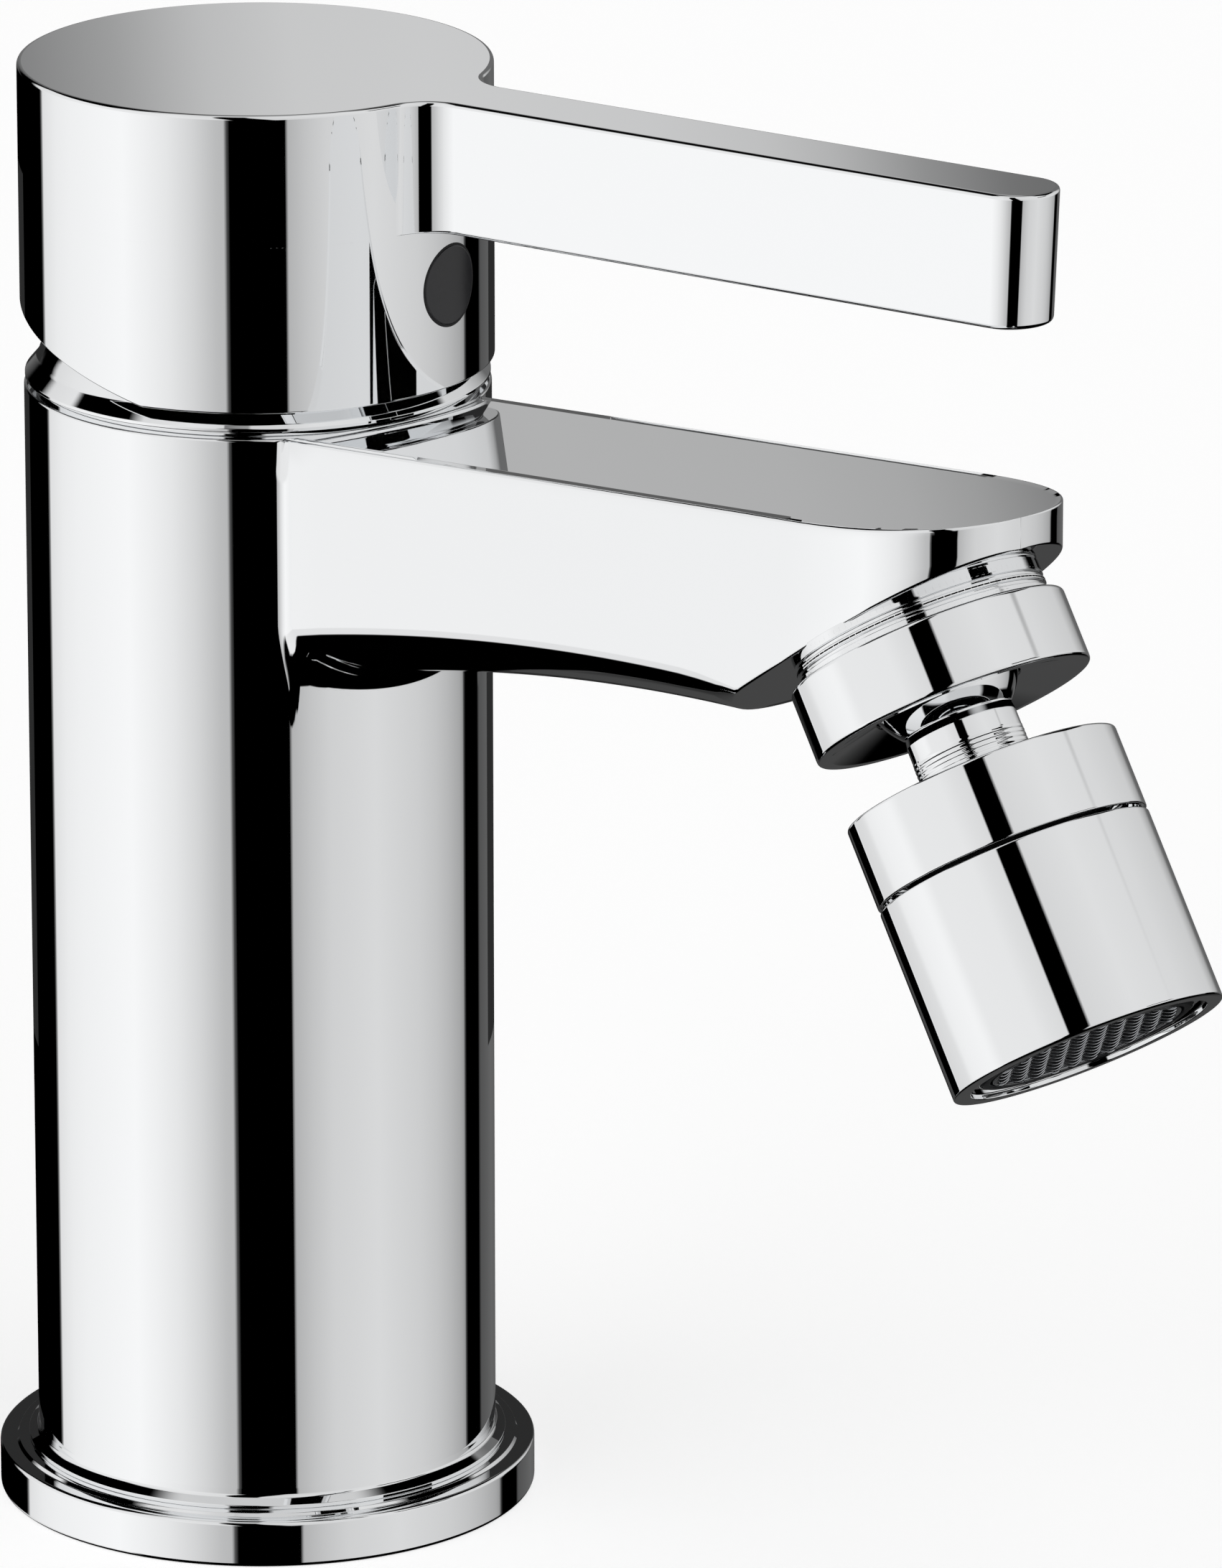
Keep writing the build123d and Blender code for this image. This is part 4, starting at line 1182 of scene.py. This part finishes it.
# The world: walls of greys that depend on the direction seen, and plain white
# where the camera looks straight at it
def makeWorld():
    world = bpy.data.worlds.new("studio tent")
    world.use_nodes = True
    tree = world.node_tree
    place = addNode(tree, "ShaderNodeTexCoord")
    facing = (0, 0, math.radians(90 - view["azimuth"]))
    faced = addNode(
        tree,
        "ShaderNodeMapping",
        inputs={"Vector": place.outputs["Generated"], "Rotation": facing},
    )
    parts = addNode(tree, "ShaderNodeSeparateXYZ", inputs={"Vector": faced.outputs["Vector"]})
    front, right, rise = (parts.outputs[axis] for axis in "XYZ")

    # Angle round from a direction, leaning over as it rises, then a ramp of greys
    def wall(stops, spread, lean, ahead, beside):
        angle = addNode(tree, "ShaderNodeMath", {"operation": "ARCTAN2"}, {0: beside, 1: ahead})
        leaned = addNode(
            tree,
            "ShaderNodeMath",
            {"operation": "MULTIPLY_ADD"},
            {0: rise, 1: lean, 2: angle.outputs[0]},
        )
        share = addNode(
            tree,
            "ShaderNodeMapRange",
            inputs={
                "Value": leaned.outputs[0],
                "From Min": -math.radians(spread),
                "From Max": math.radians(spread),
            },
        )
        ramp = addNode(tree, "ShaderNodeValToRGB", inputs={"Fac": share.outputs["Result"]})
        elements = ramp.color_ramp.elements
        for index, (degrees, grey) in enumerate(stops):
            at = (degrees + spread) / (2 * spread)
            stop = elements[index] if index < 2 else elements.new(at)
            stop.position = at
            stop.color = greyOf(toLinear(grey))
        return ramp.outputs["Color"]

    # One grey gives way to another between two heights
    def giveWay(lower, upper, heights):
        share = addNode(
            tree,
            "ShaderNodeMapRange",
            {"interpolation_type": "SMOOTHSTEP"},
            {"Value": rise, "From Min": heights[0], "From Max": heights[1]},
        )
        inputs = {"Factor": share.outputs["Result"], 6: lower, 7: upper}
        return addNode(tree, "ShaderNodeMix", {"data_type": "RGBA"}, inputs).outputs[2]

    deep, under, low = (wall(tent[k], 180, 0.0, front, right) for k in ("deep", "under", "low"))
    upper, high = (wall(tent[k], 180, tent["lean"], front, right) for k in ("upper", "high"))
    away, left = (
        addNode(tree, "ShaderNodeMath", {"operation": "MULTIPLY"}, {0: way, 1: -1.0}).outputs[0]
        for way in (front, right)
    )
    back = wall(tent["back"], tent["backSpread"], tent["backLean"], away, left)
    dim = giveWay(greyOf(tent["backDim"]), greyOf(1), tent["backHeights"])
    dimmed = addNode(
        tree,
        "ShaderNodeMix",
        {"data_type": "RGBA", "blend_type": "MULTIPLY"},
        {"Factor": 1.0, 6: back, 7: dim},
    )
    # The back wall shows only within its few degrees
    narrow = addNode(tree, "ShaderNodeMath", {"operation": "ARCTAN2"}, {0: right, 1: away})
    aside = addNode(tree, "ShaderNodeMath", {"operation": "ABSOLUTE"}, {0: narrow.outputs[0]})
    inBack = addNode(
        tree,
        "ShaderNodeMath",
        {"operation": "LESS_THAN"},
        {0: aside.outputs[0], 1: math.radians(tent["backHalf"])},
    )
    high = addNode(
        tree,
        "ShaderNodeMix",
        {"data_type": "RGBA"},
        {"Factor": inBack.outputs[0], 6: high, 7: dimmed.outputs[2]},
    ).outputs[2]

    # The black screen shows where direction and height both lie between its ends
    dark = tent["dark"]
    angle = addNode(tree, "ShaderNodeMath", {"operation": "ARCTAN2"}, {0: right, 1: front})
    inDark = 1.0
    for operation, value, limit in (
        ("GREATER_THAN", angle.outputs[0], math.radians(dark["start"])),
        ("LESS_THAN", angle.outputs[0], math.radians(dark["end"])),
        ("GREATER_THAN", rise, dark["low"]),
        ("LESS_THAN", rise, dark["high"]),
    ):
        held = addNode(tree, "ShaderNodeMath", {"operation": operation}, {0: value, 1: limit})
        both = {0: inDark, 1: held.outputs[0]}
        inDark = addNode(tree, "ShaderNodeMath", {"operation": "MULTIPLY"}, both).outputs[0]
    walls = addNode(
        tree,
        "ShaderNodeMix",
        {"data_type": "RGBA"},
        {"Factor": inDark, 6: giveWay(low, high, tent["lowEnds"]), 7: greyOf(0)},
    ).outputs[2]
    walls = giveWay(under, walls, tent["underEnds"])
    walls = giveWay(deep, walls, tent["deepEnds"])
    walls = giveWay(walls, upper, tent["upperStarts"])
    walls = giveWay(walls, greyOf(toLinear(tent["roof"])), tent["roofStarts"])
    path = addNode(tree, "ShaderNodeLightPath")
    seen = addNode(
        tree,
        "ShaderNodeMix",
        {"data_type": "RGBA"},
        {"Factor": path.outputs["Is Camera Ray"], 6: walls, 7: greyOf(1)},
    )
    tree.links.new(seen.outputs[2], tree.nodes["Background"].inputs["Color"])
    bpy.context.scene.world = world


placeCamera()
makeFloor()
makeWorld()
makeBackdrop()
bpy.context.scene.view_settings.view_transform = "Standard"
print("camera, floor, tent and card set")
